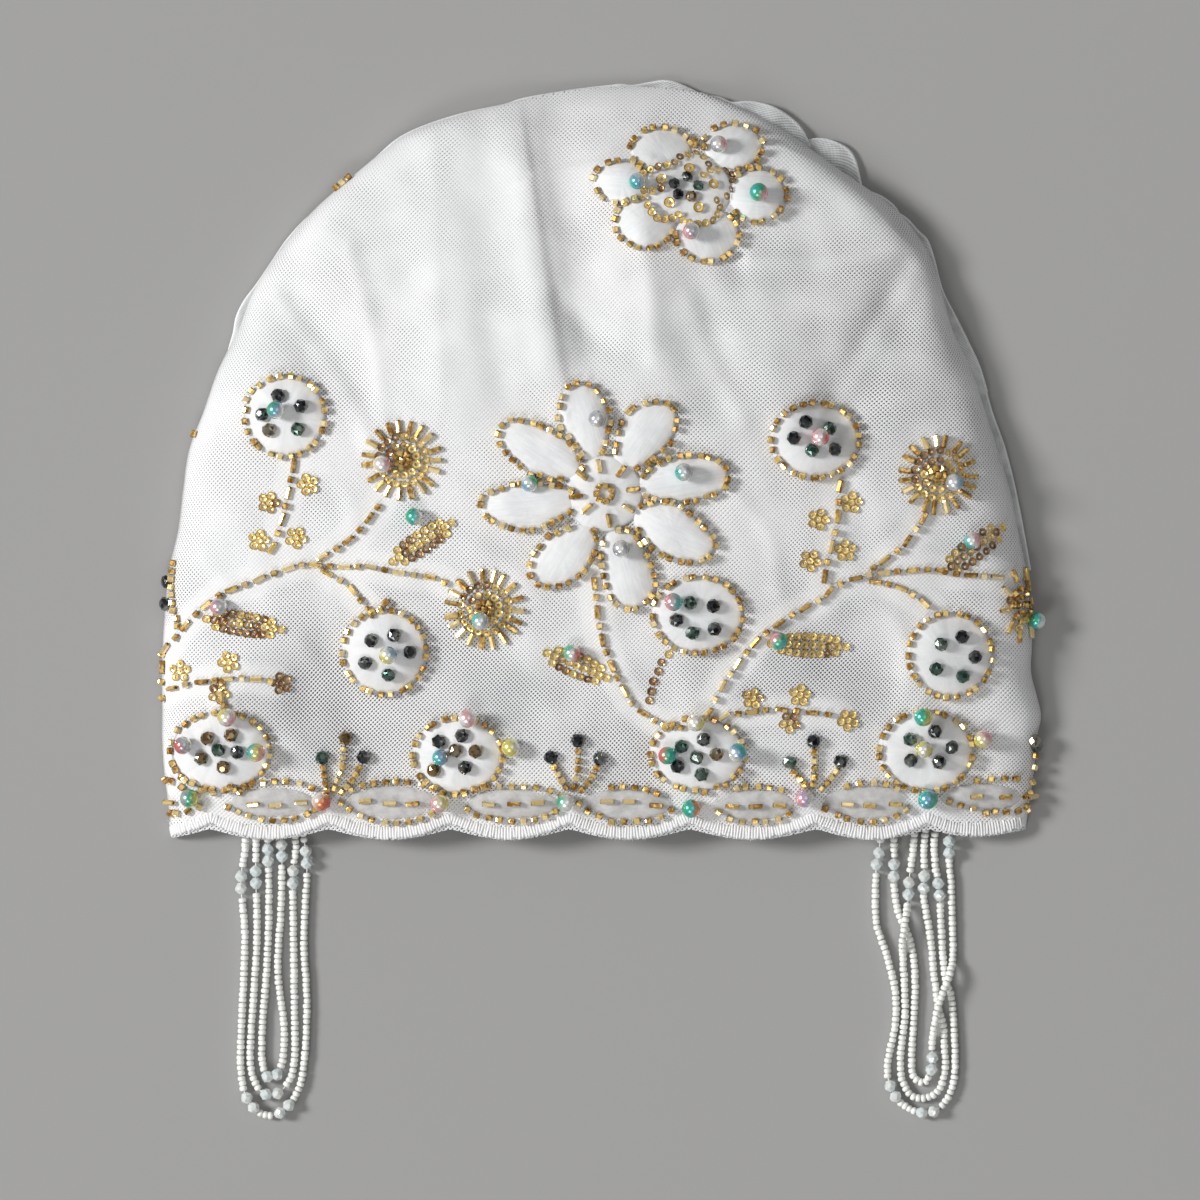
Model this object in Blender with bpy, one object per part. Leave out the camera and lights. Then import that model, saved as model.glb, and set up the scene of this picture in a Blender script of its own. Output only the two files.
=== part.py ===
"""Beaded turban: a soft cap of white stretch net that lies on its back, front side up.

Padded flowers, sunbursts, leaves, ovals and pearls are sewn to its front, and three looped
strings of beads come out from under each side of its scalloped hem.
Metres, +Z up, the hem towards -Y, the origin in the middle under the whole object.

Places are read off a flat view of the front: u runs right, v runs down, in steps of 0.29 mm.
"""
import bisect
import math

import bmesh
import bpy
from mathutils import Vector
from mathutils.bvhtree import BVHTree

MM = 0.001
STEP = 0.29 * MM
CENTRE_U = 598.7
CENTRE_V = 601.8

# Cloth and clearance
NET_WALL = 1.3 * MM
BORDER_WALL = 1.6 * MM
LIP = 1.0 * MM
INNER_CORNER = 0.45 * MM
HEM_CORNER = 0.4 * MM
TOP_SEAM_HEIGHT = 0.7 * MM
GAP = 0.3 * MM
PAD_GAP = 0.35 * MM

# Crown
TOP_V = 86
TOP_U = 630
HEM_V = 840
RIM_V = 808
LAST_STATION_V = 89
STATION_COUNT = 17
ACROSS_TOP = 30
ACROSS_BACK = 4
EDGE_POWER = 16
TOP_POWER = 12
DOME_POWER = 1.15
HEM_SHARE = 0.06
EVEN_SHARE = 0.62
TOP_EASING = 1.75
LEAST_HOLLOW = 7.8 * MM

# v, left u and right u of the front layer
OUTLINE = (
    (86, 630, 631), (90, 571, 688), (100, 522, 722), (113, 468, 752), (130, 415, 783),
    (150, 385, 812), (170, 360, 840), (210, 314, 896), (250, 280, 927), (290, 254, 942),
    (330, 238, 953), (370, 218, 972), (410, 204, 985), (450, 189, 998), (490, 183, 1010),
    (530, 178, 1018), (570, 169, 1026), (610, 165, 1030), (650, 162, 1032), (690, 162, 1034),
    (730, 162, 1035), (770, 164, 1034), (810, 169, 1028), (842, 172, 1024),
)

# share of the way from hem to top, rise at the side folds in mm, dome above it in mm
RISE = (
    (0.00, 4.6, 3.9), (0.12, 9.0, 6.8), (0.28, 12.0, 9.8), (0.45, 12.8, 11.8),
    (0.62, 12.8, 12.4), (0.78, 12.8, 10.4), (0.90, 12.2, 6.2), (0.97, 10.8, 2.4), (1.00, 9.5, 0.0),
)

# v, loose back fold beyond the left edge in mm, and beyond the right edge in mm
BACK_FOLDS = (
    (86, 1.0, 2.0), (104, 1.0, 5.0), (122, 1.0, 7.6), (142, 1.0, 4.6), (163, 1.2, 6.2),
    (190, 2.0, 1.6), (225, 2.2, 3.6), (262, 1.4, 4.2), (300, 2.4, 1.4), (345, 1.2, 2.2),
    (430, 1.0, 1.6), (600, 1.0, 1.4), (842, 1.0, 1.0),
)

# from u, v to u, v, half width in mm, rise in mm
FOLDS = (
    (448, 125, 452, 390, 10.0, 1.9),
    (512, 130, 545, 350, 7.5, 2.0),
    (560, 120, 590, 350, 8.0, -1.4),
    (640, 215, 655, 340, 9.0, 1.5),
    (700, 290, 715, 390, 9.0, -1.4),
    (530, 182, 640, 165, 8.0, 1.2),
    (745, 265, 905, 260, 8.0, -1.9),
    (915, 275, 845, 398, 9.0, -2.3),
    (285, 305, 350, 400, 9.0, -2.3),
    (840, 425, 955, 395, 9.0, -1.8),
    (945, 716, 1015, 718, 8.0, -1.6),
    (320, 700, 405, 755, 15.0, -3.4),
    (440, 655, 520, 705, 12.0, -2.4),
    (585, 700, 640, 760, 12.0, -1.8),
    (840, 650, 880, 700, 12.0, -1.8),
    (230, 690, 280, 640, 10.0, 1.6),
)

# Hem: u of the valleys between scallops, with one beyond each side fold
VALLEYS = (93, 211, 329, 451, 569, 689, 815, 928, 1046)
VALLEY_V = 815
SCALLOP_V = 838
SCALLOP_POWER = 0.7
BACK_SCALLOP_SHORTER = 3
ACROSS_BORDER_FRONT = 43
ACROSS_BORDER_BACK = 16
LEAST_HEM_ROOM = 2.76 * MM

# Pads
PAD_RIM = 0.8 * MM
PAD_SIDES = 12
SLOT_REACH = 0.5 * MM
SETTLE_ROUNDS = 3
SPAN_PARTS = 6
# share of the radius and share of the height of each ring on a pad's top
PAD_RINGS = ((0.84, 0.72), (0.48, 0.97))
SUNBURST_RINGS = ((0.62, 0.55), (0.4, 1.0))
LOW_RINGS = ((0.6, 0.9),)
DAISY_RINGS = ((0.86, 0.8), (0.55, 1.0), (0.25, 0.6))
ROSE_RINGS = ((0.88, 0.75), (0.5, 0.9))
SUNBURST_SIDES = 14
PETAL_POINTS = 6
PETAL_TURNS = 24

# name, u, v, half width, half height, height in mm
DISCS = (
    ("disc_1", 286, 417, 41, 41, 3.0),
    ("disc_2", 385, 652, 43, 43, 3.0),
    ("disc_3", 814, 441, 45, 38, 3.0),
    ("disc_4", 697, 615, 46, 39, 3.0),
    ("disc_5", 949, 655, 43, 43, 3.0),
    ("disc_6", 222, 751, 50, 40, 3.2),
    ("disc_7", 458, 755, 46, 38, 3.2),
    ("disc_8", 697, 754, 48, 37, 3.2),
    ("disc_9", 925, 751, 48, 41, 3.2),
)

# disc name, then u and v of each crystal
DISC_CRYSTALS = (
    ("disc_1", (279, 396), (263, 415), (270, 431), (299, 430), (302, 407)),
    ("disc_2", (372, 640), (395, 635), (366, 663), (389, 675), (411, 652)),
    ("disc_3", (805, 423), (829, 429), (793, 439), (811, 451), (834, 450)),
    ("disc_4", (690, 603), (713, 606), (676, 620), (692, 633), (714, 629)),
    ("disc_5", (961, 637), (940, 644), (974, 657), (935, 669), (962, 676)),
    ("disc_6", (232, 735), (208, 738), (219, 750), (238, 752), (202, 758), (224, 767)),
    ("disc_7", (439, 739), (462, 735), (454, 751), (476, 751), (465, 767), (434, 771)),
    ("disc_8", (703, 739), (681, 746), (696, 757), (716, 754), (677, 766), (701, 774)),
    ("disc_9", (909, 739), (934, 731), (951, 747), (938, 762), (910, 760)),
)
CRYSTAL_RADIUS = 1.95 * MM
SMALL_CRYSTAL_RADIUS = 1.35 * MM
CRYSTAL_SIDES = 8
# share of the radius, height over the pad in shares of the radius
CRYSTAL_RINGS = ((1.00, -0.45), (0.55, 0.85))

# name, u, v, radius, height in mm
SUNBURSTS = (
    ("sunburst_1", 403, 461, 38, 2.2),
    ("sunburst_2", 485, 607, 38, 2.2),
    ("sunburst_3", 937, 475, 38, 2.2),
)
SIDE_SUNBURST = ("sunburst_4", 1014, 607, 36, 2.0)
SIDE_REACH = 0.90
SIDE_FOLD_U = 1034

# name, from u, v to u, v, half width
LEAVES = (
    ("leaf_1", 390, 563, 453, 522, 12),
    ("leaf_2", 204, 619, 285, 629, 13),
    ("leaf_3", 544, 652, 609, 678, 13),
    ("leaf_4", 941, 573, 1004, 526, 13),
    ("leaf_5", 768, 643, 849, 647, 13),
)
LEAF_HEIGHT = 1.5 * MM

# name, u, v, half width and half height of each padded oval on the hem
OVALS = (
    ("garland_1", 273, 802, 43, 16), ("garland_2", 392, 802, 48, 18),
    ("garland_3", 513, 803, 47, 16), ("garland_4", 626, 804, 48, 17),
    ("garland_5", 753, 804, 42, 17), ("garland_6", 866, 802, 46, 18),
    ("garland_7", 980, 797, 42, 15),
)
OVAL_HEIGHT = 2.2 * MM

# Daisy: angle in degrees, length, half width
DAISY_CENTRE = (604, 494)
DAISY_PETALS = (
    (7, 128, 27), (55, 109, 28), (102, 112, 25), (147, 125, 27),
    (186, 123, 27), (237, 110, 27), (285, 118, 26), (331, 122, 27),
)
DAISY_WAIST = 34
DAISY_HEIGHT = 2.6 * MM

# Rose: u, v of each petal's middle, its half width and half height
ROSE_CENTRE = (688, 190)
ROSE_PETALS = (
    (757, 197, 28, 27), (733, 148, 29, 23), (661, 152, 30, 23), (622, 184, 28, 21),
    (645, 225, 31, 25), (707, 236, 32, 27),
)
ROSE_WAIST = 42
ROSE_HEIGHT = 3.0 * MM
ROSE_CRYSTALS = ((673, 185), (687, 177), (677, 196), (699, 186), (690, 199))

# name, u, v, radius in mm
PEARLS = (
    ("pearl_disc_1", 277, 411, 2.6), ("pearl_disc_2", 389, 655, 2.6),
    ("pearl_disc_3", 819, 438, 2.6), ("pearl_disc_4", 673, 602, 2.6),
    ("pearl_disc_6_top", 228, 717, 2.7), ("pearl_disc_6_left", 184, 745, 2.6),
    ("pearl_disc_6_right", 257, 752, 2.7), ("pearl_disc_7_top", 468, 718, 2.7),
    ("pearl_disc_7_right", 511, 747, 2.7), ("pearl_disc_8_top", 695, 722, 2.6),
    ("pearl_disc_8_right", 737, 752, 2.7), ("pearl_disc_9_top", 922, 717, 2.6),
    ("pearl_disc_9_right", 982, 739, 2.7), ("pearl_hem_1", 190, 798, 2.7),
    ("pearl_hem_2", 322, 801, 2.8), ("pearl_hem_3", 440, 803, 2.7),
    ("pearl_hem_4", 566, 802, 2.7), ("pearl_hem_5", 691, 808, 2.7),
    ("pearl_hem_6", 804, 798, 2.7), ("pearl_hem_7", 927, 799, 2.9),
)
PEARL_SIDES = 10
PEARL_RINGS = 3
SEAT_STEP = 0.05 * MM

# Strings of beads: u, v and lift over another string in mm, from one sewn end to the other
STRING_RADIUS = 1.1 * MM
STRING_POINT_SPACING = 8.0 * MM
CLOSEST_STRING_POINTS = 4.4 * MM
STRING_PARTS = 10
# distance from the middle of a crystal or pair in mm, radius there in shares of the string's
CRYSTAL_SWELL = ((-4.6, 1.0), (-2.2, 1.75), (2.2, 1.75), (4.6, 1.0))
HEM_STEP_V = 846
HEM_SLOPE = 8 * MM
FLOOR_CLEAR = 0.2 * MM
STRINGS = (
    ("loop_left_outer", (
        (246, 822, 0), (245, 850, 0), (241, 883, 0), (245, 940, 0), (241, 1040, 0), (242, 1080, 0),
        (250, 1103, 0), (266, 1115, 0), (284, 1110, 0), (299, 1088, 0), (305, 1055, 0),
        (307, 1000, 0), (304, 940, 0), (307, 870, 0), (304, 838, 0), (302, 822, 0))),
    ("loop_left_middle", (
        (257, 822, 0), (256, 850, 0), (256, 878, 0), (257, 940, 0), (251, 1035, 0), (251, 1068, 0),
        (259, 1089, 0), (271, 1095, 0), (283, 1089, 0), (293, 1070, 0), (295, 1035, 0),
        (294, 970, 0), (293, 878, 0), (296, 845, 0), (292, 822, 0))),
    ("loop_left_inner", (
        (268, 822, 0), (268, 855, 0), (269, 905, 0), (267, 965, 0), (262, 1035, 0), (263, 1066, 0),
        (268, 1077, 0), (276, 1076, 0), (283, 1058, 0), (284, 1025, 0), (278, 970, 0),
        (281, 910, 0), (282, 855, 0), (281, 822, 0))),
    ("loop_right_outer", (
        (881, 822, 0), (879, 852, 0), (876, 870, 0), (876, 920, 0), (886, 953, 0), (895, 990, 0),
        (895, 1025, 0), (888, 1060, 0), (889, 1082, 0), (900, 1102, 0), (919, 1112, 0),
        (936, 1110, 0), (950, 1093, 0), (955, 1066, 0), (953, 1015, 0), (951, 995, 0),
        (946, 982, 0), (943, 960, 0), (941, 925, 0), (939, 890, 0), (935, 864, 0), (934, 842, 0),
        (937, 822, 0))),
    ("loop_right_middle", (
        (915, 822, 0), (913, 850, 0), (909, 880, 0), (908, 900, 0), (906, 913, 2.3), (904, 929, 2.8),
        (902, 945, 2.3), (903, 962, 0), (905, 1010, 0), (901, 1050, 0), (901, 1076, 0),
        (909, 1093, 0), (921, 1098, 0), (937, 1092, 0), (945, 1070, 0), (944, 1040, 0),
        (943, 1024, 0), (938, 1006, 0),
        (934, 975, 0), (930, 935, 0), (924, 900, 0), (924, 872, 0), (924, 845, 0),
        (926, 822, 0))),
    ("loop_right_inner", (
        (894, 822, 0), (894, 860, 0), (894, 885, 0), (898, 912, 0), (907, 932, 0), (913, 955, 0),
        (915, 990, 0), (912, 1050, 0), (912, 1072, 0), (918, 1081, 0), (926, 1081, 0),
        (932, 1066, 0), (932, 1045, 0), (934, 1026, 2.2), (938, 1006, 2.8), (945, 986, 2.8),
        (950, 972, 2.4), (953, 955, 0), (952, 915, 0), (951, 885, 0), (949, 858, 0),
        (949, 838, 0), (950, 822, 0))),
)
# string name, then u and v of each clear crystal or pair of them
STRING_CRYSTALS = (
    ("loop_left_outer", (241, 883), (307, 857), (250, 1103), (285, 1109)),
    ("loop_left_middle", (256, 876), (293, 877), (272, 1095)),
    ("loop_left_inner", (268, 856), (282, 852), (273, 1079)),
    ("loop_right_outer", (878, 858), (939, 890), (892, 1090), (927, 1112)),
    ("loop_right_middle", (909, 889), (924, 882)),
    ("loop_right_inner", (894, 872), (949, 847), (932, 1066)),
)

# Colours: name, red, green, blue, roughness, metallic
COLOURS = {
    "net": (0.86, 0.86, 0.85, 0.85, 0.0),
    "border": (0.90, 0.90, 0.89, 0.6, 0.0),
    "padding": (0.93, 0.93, 0.93, 0.9, 0.0),
    "gold": (0.83, 0.58, 0.20, 0.25, 0.8),
    "pearl": (0.70, 0.78, 0.72, 0.2, 0.1),
    "white_bead": (0.92, 0.93, 0.92, 0.35, 0.0),
}


def to_x(u):
    return (u - CENTRE_U) * STEP


def to_y(v):
    return (CENTRE_V - v) * STEP


def to_u(x):
    return x / STEP + CENTRE_U


def to_v(y):
    return CENTRE_V - y / STEP


def read_table(rows, column, at):
    """Smooth value of one column of a table, at a value of its first column."""
    places = [row[0] for row in rows]
    at = min(max(at, places[0]), places[-1])
    low = min(bisect.bisect_right(places, at), len(rows) - 1) - 1
    high = low + 1

    def slope(k):
        before = max(k - 1, 0)
        after = min(k + 1, len(rows) - 1)
        return (rows[after][column] - rows[before][column]) / (places[after] - places[before])

    span = places[high] - places[low]
    share = (at - places[low]) / span
    rise = rows[high][column] - rows[low][column]
    start = slope(low) * span
    end = slope(high) * span
    bend = (3 * rise - 2 * start - end) * share ** 2
    return rows[low][column] + start * share + bend + (start + end - 2 * rise) * share ** 3


def remove_everything():
    for thing in list(bpy.data.objects):
        bpy.data.objects.remove(thing, do_unlink=True)


def material(name):
    """A plain material of the piece's own colour."""
    red, green, blue, roughness, metallic = COLOURS[name]
    made = bpy.data.materials.get(name) or bpy.data.materials.new(name)
    made.use_nodes = True
    shader = made.node_tree.nodes["Principled BSDF"]
    shader.inputs["Base Color"].default_value = (red, green, blue, 1.0)
    shader.inputs["Roughness"].default_value = roughness
    shader.inputs["Metallic"].default_value = metallic
    made.diffuse_color = (red, green, blue, 1.0)
    return made


def add_object(name, mesh, colour):
    made = bpy.data.objects.new(name, mesh)
    bpy.context.scene.collection.objects.link(made)
    mesh.materials.append(material(colour))
    return made


def skin(shell, loops, first=None, last=None, closed=False):
    """Join loops of equal length into a tube, with a point at an end that has one."""
    rings = [[shell.verts.new(point) for point in loop] for loop in loops]
    if closed:
        rings.append(rings[0])
    for ring, following in zip(rings, rings[1:]):
        for k in range(len(ring)):
            after = (k + 1) % len(ring)
            shell.faces.new((ring[k], ring[after], following[after], following[k]))
    for tip, ring in ((first, rings[0]), (last, rings[-1])):
        if tip is None:
            continue
        middle = shell.verts.new(tip)
        for k in range(len(ring)):
            shell.faces.new((ring[k], ring[(k + 1) % len(ring)], middle))


def finish_mesh(name, shell, smooth=True):
    bmesh.ops.recalc_face_normals(shell, faces=shell.faces)
    bmesh.ops.triangulate(shell, faces=shell.faces)
    mesh = bpy.data.meshes.new(name)
    shell.to_mesh(mesh)
    shell.free()
    if smooth:
        mesh.shade_smooth()
    return mesh


def way_up(v):
    """Share of the way from the hem to the top."""
    return (HEM_V - v) / (HEM_V - TOP_V)


def sides(v):
    return to_x(read_table(OUTLINE, 1, v)), to_x(read_table(OUTLINE, 2, v))


def fold_rise(x, y):
    """Height that the folds and dents add to the front at a place."""
    total = 0.0
    for u1, v1, u2, v2, half_width, rise in FOLDS:
        ax, ay = to_x(u1), to_y(v1)
        bx, by = to_x(u2) - ax, to_y(v2) - ay
        along = ((x - ax) * bx + (y - ay) * by) / (bx * bx + by * by)
        along = min(max(along, 0.0), 1.0)
        away = math.hypot(x - ax - along * bx, y - ay - along * by)
        total += rise * MM * math.exp(-(away / (half_width * MM)) ** 2)
    return total


def front_height(across, v):
    """Height of the front, at -1 to 1 across the cap."""
    left, right = sides(v)
    x = (left + right) / 2 + across * (right - left) / 2
    up = min(max(way_up(v), 0.0), 1.0)
    edge = (1 - min(abs(across), 1.0) ** EDGE_POWER) ** 0.5
    end = (1 - up ** TOP_POWER) ** 0.5
    rise = read_table(RISE, 1, up) * MM * edge * end
    dome = read_table(RISE, 2, up) * MM * (1 - across ** 2) ** DOME_POWER
    near_hem = min(way_up(v) / HEM_SHARE, 1.0)
    folds = fold_rise(x, to_y(v)) * edge * end * max(near_hem, 0.0)
    return NET_WALL + max(rise + dome + folds, 0.0)


def spread(count):
    """Shares from 1 to -1 across the cap, closer together towards the side folds."""
    shares = []
    for k in range(count):
        even = 1 - 2 * k / (count - 1)
        crowded = math.cos(math.pi * k / (count - 1))
        shares.append(EVEN_SHARE * even + (1 - EVEN_SHARE) * crowded)
    return shares


def section(v, across, wall, inner):
    """Closed loop round the cap at one v, over the front from right to left, then the back."""
    left, right = sides(v)
    middle, half = (left + right) / 2, (right - left) / 2
    y = to_y(v)
    loop = []
    if inner:
        half -= wall
        for share in across:
            height = max(front_height(share, v) - wall, wall + LIP)
            loop.append((middle + share * half, y, height))
        corner = INNER_CORNER
        loop.append((middle - half, y, wall + corner))
        loop.append((middle - half + corner, y, wall))
        back_left, back_right, floor = middle - half, middle + half, wall
    else:
        loop = [(middle + share * half, y, front_height(share, v)) for share in across]
        back_left = left - read_table(BACK_FOLDS, 1, v) * MM
        back_right = right + read_table(BACK_FOLDS, 2, v) * MM
        floor = 0.0
        loop.append((back_left, y, LIP))
        loop.append((back_left, y, floor))
    for k in range(ACROSS_BACK):
        share = (k + 1) / (ACROSS_BACK + 1)
        loop.append((left + share * (right - left), y, floor))
    if inner:
        loop.append((back_right - corner, y, wall))
        loop.append((back_right, y, wall + corner))
    else:
        loop.append((back_right, y, floor))
        loop.append((back_right, y, LIP))
    return loop


def crown_stations():
    """v of each section from the hem to the top, closer together towards the top."""
    stations = []
    for k in range(STATION_COUNT):
        share = k / (STATION_COUNT - 1)
        eased = 1 - (1 - share) ** TOP_EASING
        stations.append(RIM_V + (LAST_STATION_V - RIM_V) * eased)
    return stations


def make_crown():
    across = spread(ACROSS_TOP)
    stations = crown_stations()
    hollow = [v for v in stations if front_height(0.0, v) > LEAST_HOLLOW]
    outside = [section(v, across, NET_WALL, False) for v in stations]
    inside = [section(v, across, NET_WALL, True) for v in hollow]
    top = (to_x(TOP_U), to_y(TOP_V), TOP_SEAM_HEIGHT)
    deepest = inside[-1]
    cap = [sum(point[axis] for point in deepest) / len(deepest) for axis in range(3)]
    cap[1] += NET_WALL
    shell = bmesh.new()
    skin(shell, outside[::-1] + inside, top, cap)
    return add_object("crown", finish_mesh("crown", shell), "net")


def scallop_edge(u):
    """v of the scalloped edge at a u."""
    k = min(max(bisect.bisect_right(VALLEYS, u), 1), len(VALLEYS) - 1)
    share = (u - VALLEYS[k - 1]) / (VALLEYS[k] - VALLEYS[k - 1])
    bulge = math.sin(math.pi * min(max(share, 0.0), 1.0)) ** SCALLOP_POWER
    return VALLEY_V + (SCALLOP_V - VALLEY_V) * bulge


def border_loop(v_of, inner):
    """Loop round the mouth at the v that v_of gives for each u, front first."""
    loop = []
    wall = BORDER_WALL if inner else 0.0
    for share in spread(ACROSS_BORDER_FRONT):
        left, right = sides(HEM_V)
        middle, half = (left + right) / 2, (right - left) / 2 - wall
        x = middle + share * half
        v = v_of(to_u(x))
        height = max(front_height(share, v) - wall, LEAST_HEM_ROOM if inner else 0.0)
        loop.append((x, to_y(v), height))
    corner = wall + HEM_CORNER if inner else LIP
    floor = wall if inner else 0.0
    loop.append((middle - half, loop[-1][1], corner))
    for k in range(ACROSS_BORDER_BACK):
        share = (k + 0.5) / ACROSS_BORDER_BACK
        x = middle - half + 2 * half * share
        v = v_of(to_u(x))
        if v > RIM_V + 2:
            v -= BACK_SCALLOP_SHORTER
        loop.append((x, to_y(v), floor))
    loop.append((middle + half, loop[0][1], corner))
    return loop


def make_hem_edging():
    start_v = RIM_V + GAP / STEP
    loops = [
        border_loop(lambda u: start_v, False), border_loop(scallop_edge, False),
        border_loop(scallop_edge, True), border_loop(lambda u: start_v, True),
    ]
    shell = bmesh.new()
    skin(shell, loops, closed=True)
    return add_object("hem_edging", finish_mesh("hem_edging", shell), "border")


def tree_of(things):
    """Search tree over the meshes of some objects, as they stand after their modifiers."""
    depsgraph = bpy.context.evaluated_depsgraph_get()
    points, faces = [], []
    for thing in things:
        mesh = thing.evaluated_get(depsgraph).to_mesh()
        start = len(points)
        points.extend(vertex.co.copy() for vertex in mesh.vertices)
        mesh.calc_loop_triangles()
        faces.extend([start + k for k in face.vertices] for face in mesh.loop_triangles)
    return BVHTree.FromPolygons(points, faces)


def height_on(tree, x, y):
    """Height of the highest face under a place, or beside a slot that it lies over."""
    heights = []
    for reach in (-SLOT_REACH, 0.0, SLOT_REACH):
        place = tree.ray_cast(Vector((x, y + reach, 0.2)), Vector((0, 0, -1)))[0]
        if place is not None:
            heights.append(place.z)
    if heights:
        return max(heights)
    return tree.find_nearest(Vector((x, y, 0.0)))[0].z


def settle(tree, under, rings):
    """Lift a pad's underside until its edges clear the cloth between its points too."""
    spans = [(under, point) for point in rings[0]]
    for ring in rings:
        spans += [(ring[k - 1], ring[k]) for k in range(len(ring))]
    for inner, outer in zip(rings, rings[1:]):
        for k in range(len(inner)):
            spans += [(inner[k], outer[k]), (inner[k], outer[k - 1]), (inner[k - 1], outer[k])]
    for start, end in spans * SETTLE_ROUNDS:
        for part in range(1, SPAN_PARTS):
            place = start.lerp(end, part / SPAN_PARTS)
            short = height_on(tree, place.x, place.y) + GAP - place.z
            if short > 0:
                start.z += short
                end.z += short


def pad_loops(tree, u, v, reach, sides_count, height, rings):
    """Loops of a low pad that follows the cap under it, from its underside to its top.

    reach gives the pad's radius in steps at an angle.
    """
    def ring(share, lift):
        loop = []
        for k in range(sides_count):
            angle = 2 * math.pi * k / sides_count
            radius = reach(angle) * share * STEP
            x = to_x(u) + radius * math.cos(angle)
            y = to_y(v) + radius * math.sin(angle)
            loop.append(Vector((x, y, height_on(tree, x, y) + PAD_GAP + lift)))
        return loop

    def middle(lift):
        x, y = to_x(u), to_y(v)
        return Vector((x, y, height_on(tree, x, y) + PAD_GAP + lift))

    under = middle(0.0)
    bottom = [ring(0.5, 0.0), ring(1.0, 0.0)]
    settle(tree, under, bottom)
    rim = [point + Vector((0, 0, PAD_RIM)) for point in bottom[-1]]
    top = [ring(share, height * high) for share, high in rings]
    return bottom + [rim] + top, under, middle(height)


def make_pad(name, colour, tree, u, v, reach, height, sides_count=PAD_SIDES, rings=PAD_RINGS):
    shell = bmesh.new()
    loops, under, over = pad_loops(tree, u, v, reach, sides_count, height, rings)
    skin(shell, loops, under, over)
    return add_object(name, finish_mesh(name, shell), colour)


def oval_reach(half_width, half_height):
    """Radius of an oval at an angle."""
    def reach(angle):
        flat = math.cos(angle) / half_width
        tall = math.sin(angle) / half_height
        return 1 / math.hypot(flat, tall)
    return reach


def crystals_mesh(name, tree, places, radius):
    """Faceted crystals, each with a table, sunk a little into what is under them."""
    shell = bmesh.new()
    for u, v in places:
        x, y = to_x(u), to_y(v)
        ground = height_on(tree, x, y)
        loops = []
        for share, lift in CRYSTAL_RINGS:
            loops.append([
                (x + radius * share * math.cos(2 * math.pi * k / CRYSTAL_SIDES),
                 y + radius * share * math.sin(2 * math.pi * k / CRYSTAL_SIDES),
                 ground + radius * lift)
                for k in range(CRYSTAL_SIDES)])
        under = (x, y, ground + radius * CRYSTAL_RINGS[0][1])
        over = (x, y, ground + radius * CRYSTAL_RINGS[-1][1])
        skin(shell, loops, under, over)
    return finish_mesh(name, shell, smooth=False)


def set_crystals(pad, places, radius):
    """Fuse crystals to the pad that they are sewn into."""
    name = pad.name + "_crystals"
    mesh = crystals_mesh(name, tree_of([pad]), places, radius)
    cutter = bpy.data.objects.new(name, mesh)
    bpy.context.scene.collection.objects.link(cutter)
    cutter.hide_render = True
    cutter.display_type = "WIRE"
    union = pad.modifiers.new("crystals", "BOOLEAN")
    union.operation = "UNION"
    union.solver = "EXACT"
    union.object = cutter


def make_discs(cloth):
    crystals = {row[0]: row[1:] for row in DISC_CRYSTALS}
    discs = []
    for name, u, v, half_width, half_height, height in DISCS:
        reach = oval_reach(half_width, half_height)
        disc = make_pad(name, "padding", cloth, u, v, reach, height * MM)
        set_crystals(disc, crystals[name], CRYSTAL_RADIUS)
        discs.append(disc)
    return discs


def make_sunbursts(cloth):
    made = []
    for name, u, v, radius, height in SUNBURSTS:
        reach = oval_reach(radius, radius)
        made.append(make_pad(
            name, "gold", cloth, u, v, reach, height * MM, SUNBURST_SIDES, SUNBURST_RINGS))
    name, u, v, radius, height = SIDE_SUNBURST
    room = (SIDE_FOLD_U - u) * SIDE_REACH

    def cut_reach(angle):
        side = math.cos(angle)
        return min(radius, room / side) if side > 0 else radius

    made.append(make_pad(
        name, "gold", cloth, u, v, cut_reach, height * MM, SUNBURST_SIDES, SUNBURST_RINGS))
    return made


def make_leaves(cloth):
    made = []
    for name, u1, v1, u2, v2, half_width in LEAVES:
        length = math.hypot(u2 - u1, v2 - v1)
        turn = math.atan2(v1 - v2, u2 - u1)
        oval = oval_reach(length / 2, half_width)
        made.append(make_pad(
            name, "gold", cloth, (u1 + u2) / 2, (v1 + v2) / 2,
            lambda angle, oval=oval, turn=turn: oval(angle - turn),
            LEAF_HEIGHT, PAD_SIDES, LOW_RINGS))
    return made


def make_garland(cloth):
    made = []
    for name, u, v, half_width, half_height in OVALS:
        reach = oval_reach(half_width, half_height)
        made.append(make_pad(
            name, "padding", cloth, u, v, reach, OVAL_HEIGHT, PAD_SIDES, LOW_RINGS))
    return made


def petal_radius(angle, direction, length, half_width, waist):
    """Radius of one pointed petal's outline at an angle, or the flower's waist beside it."""
    away = (angle - direction + math.pi) % (2 * math.pi) - math.pi
    if abs(away) > math.pi / 2:
        return waist
    reach = oval_reach(length / 2, half_width)
    best = waist
    for k in range(PETAL_TURNS):
        turn = math.pi * k / PETAL_TURNS
        radius = reach(turn)
        px = length / 2 + radius * math.cos(turn)
        py = radius * math.sin(turn)
        if math.atan2(py, px) >= abs(away):
            best = max(best, math.hypot(px, py))
    return best


def make_daisy(cloth):
    def reach(angle):
        return max(petal_radius(angle, math.radians(direction), length, half, DAISY_WAIST)
                   for direction, length, half in DAISY_PETALS)

    count = len(DAISY_PETALS) * PETAL_POINTS
    u, v = DAISY_CENTRE
    return make_pad("daisy", "padding", cloth, u, v, reach, DAISY_HEIGHT, count, DAISY_RINGS)


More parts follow.
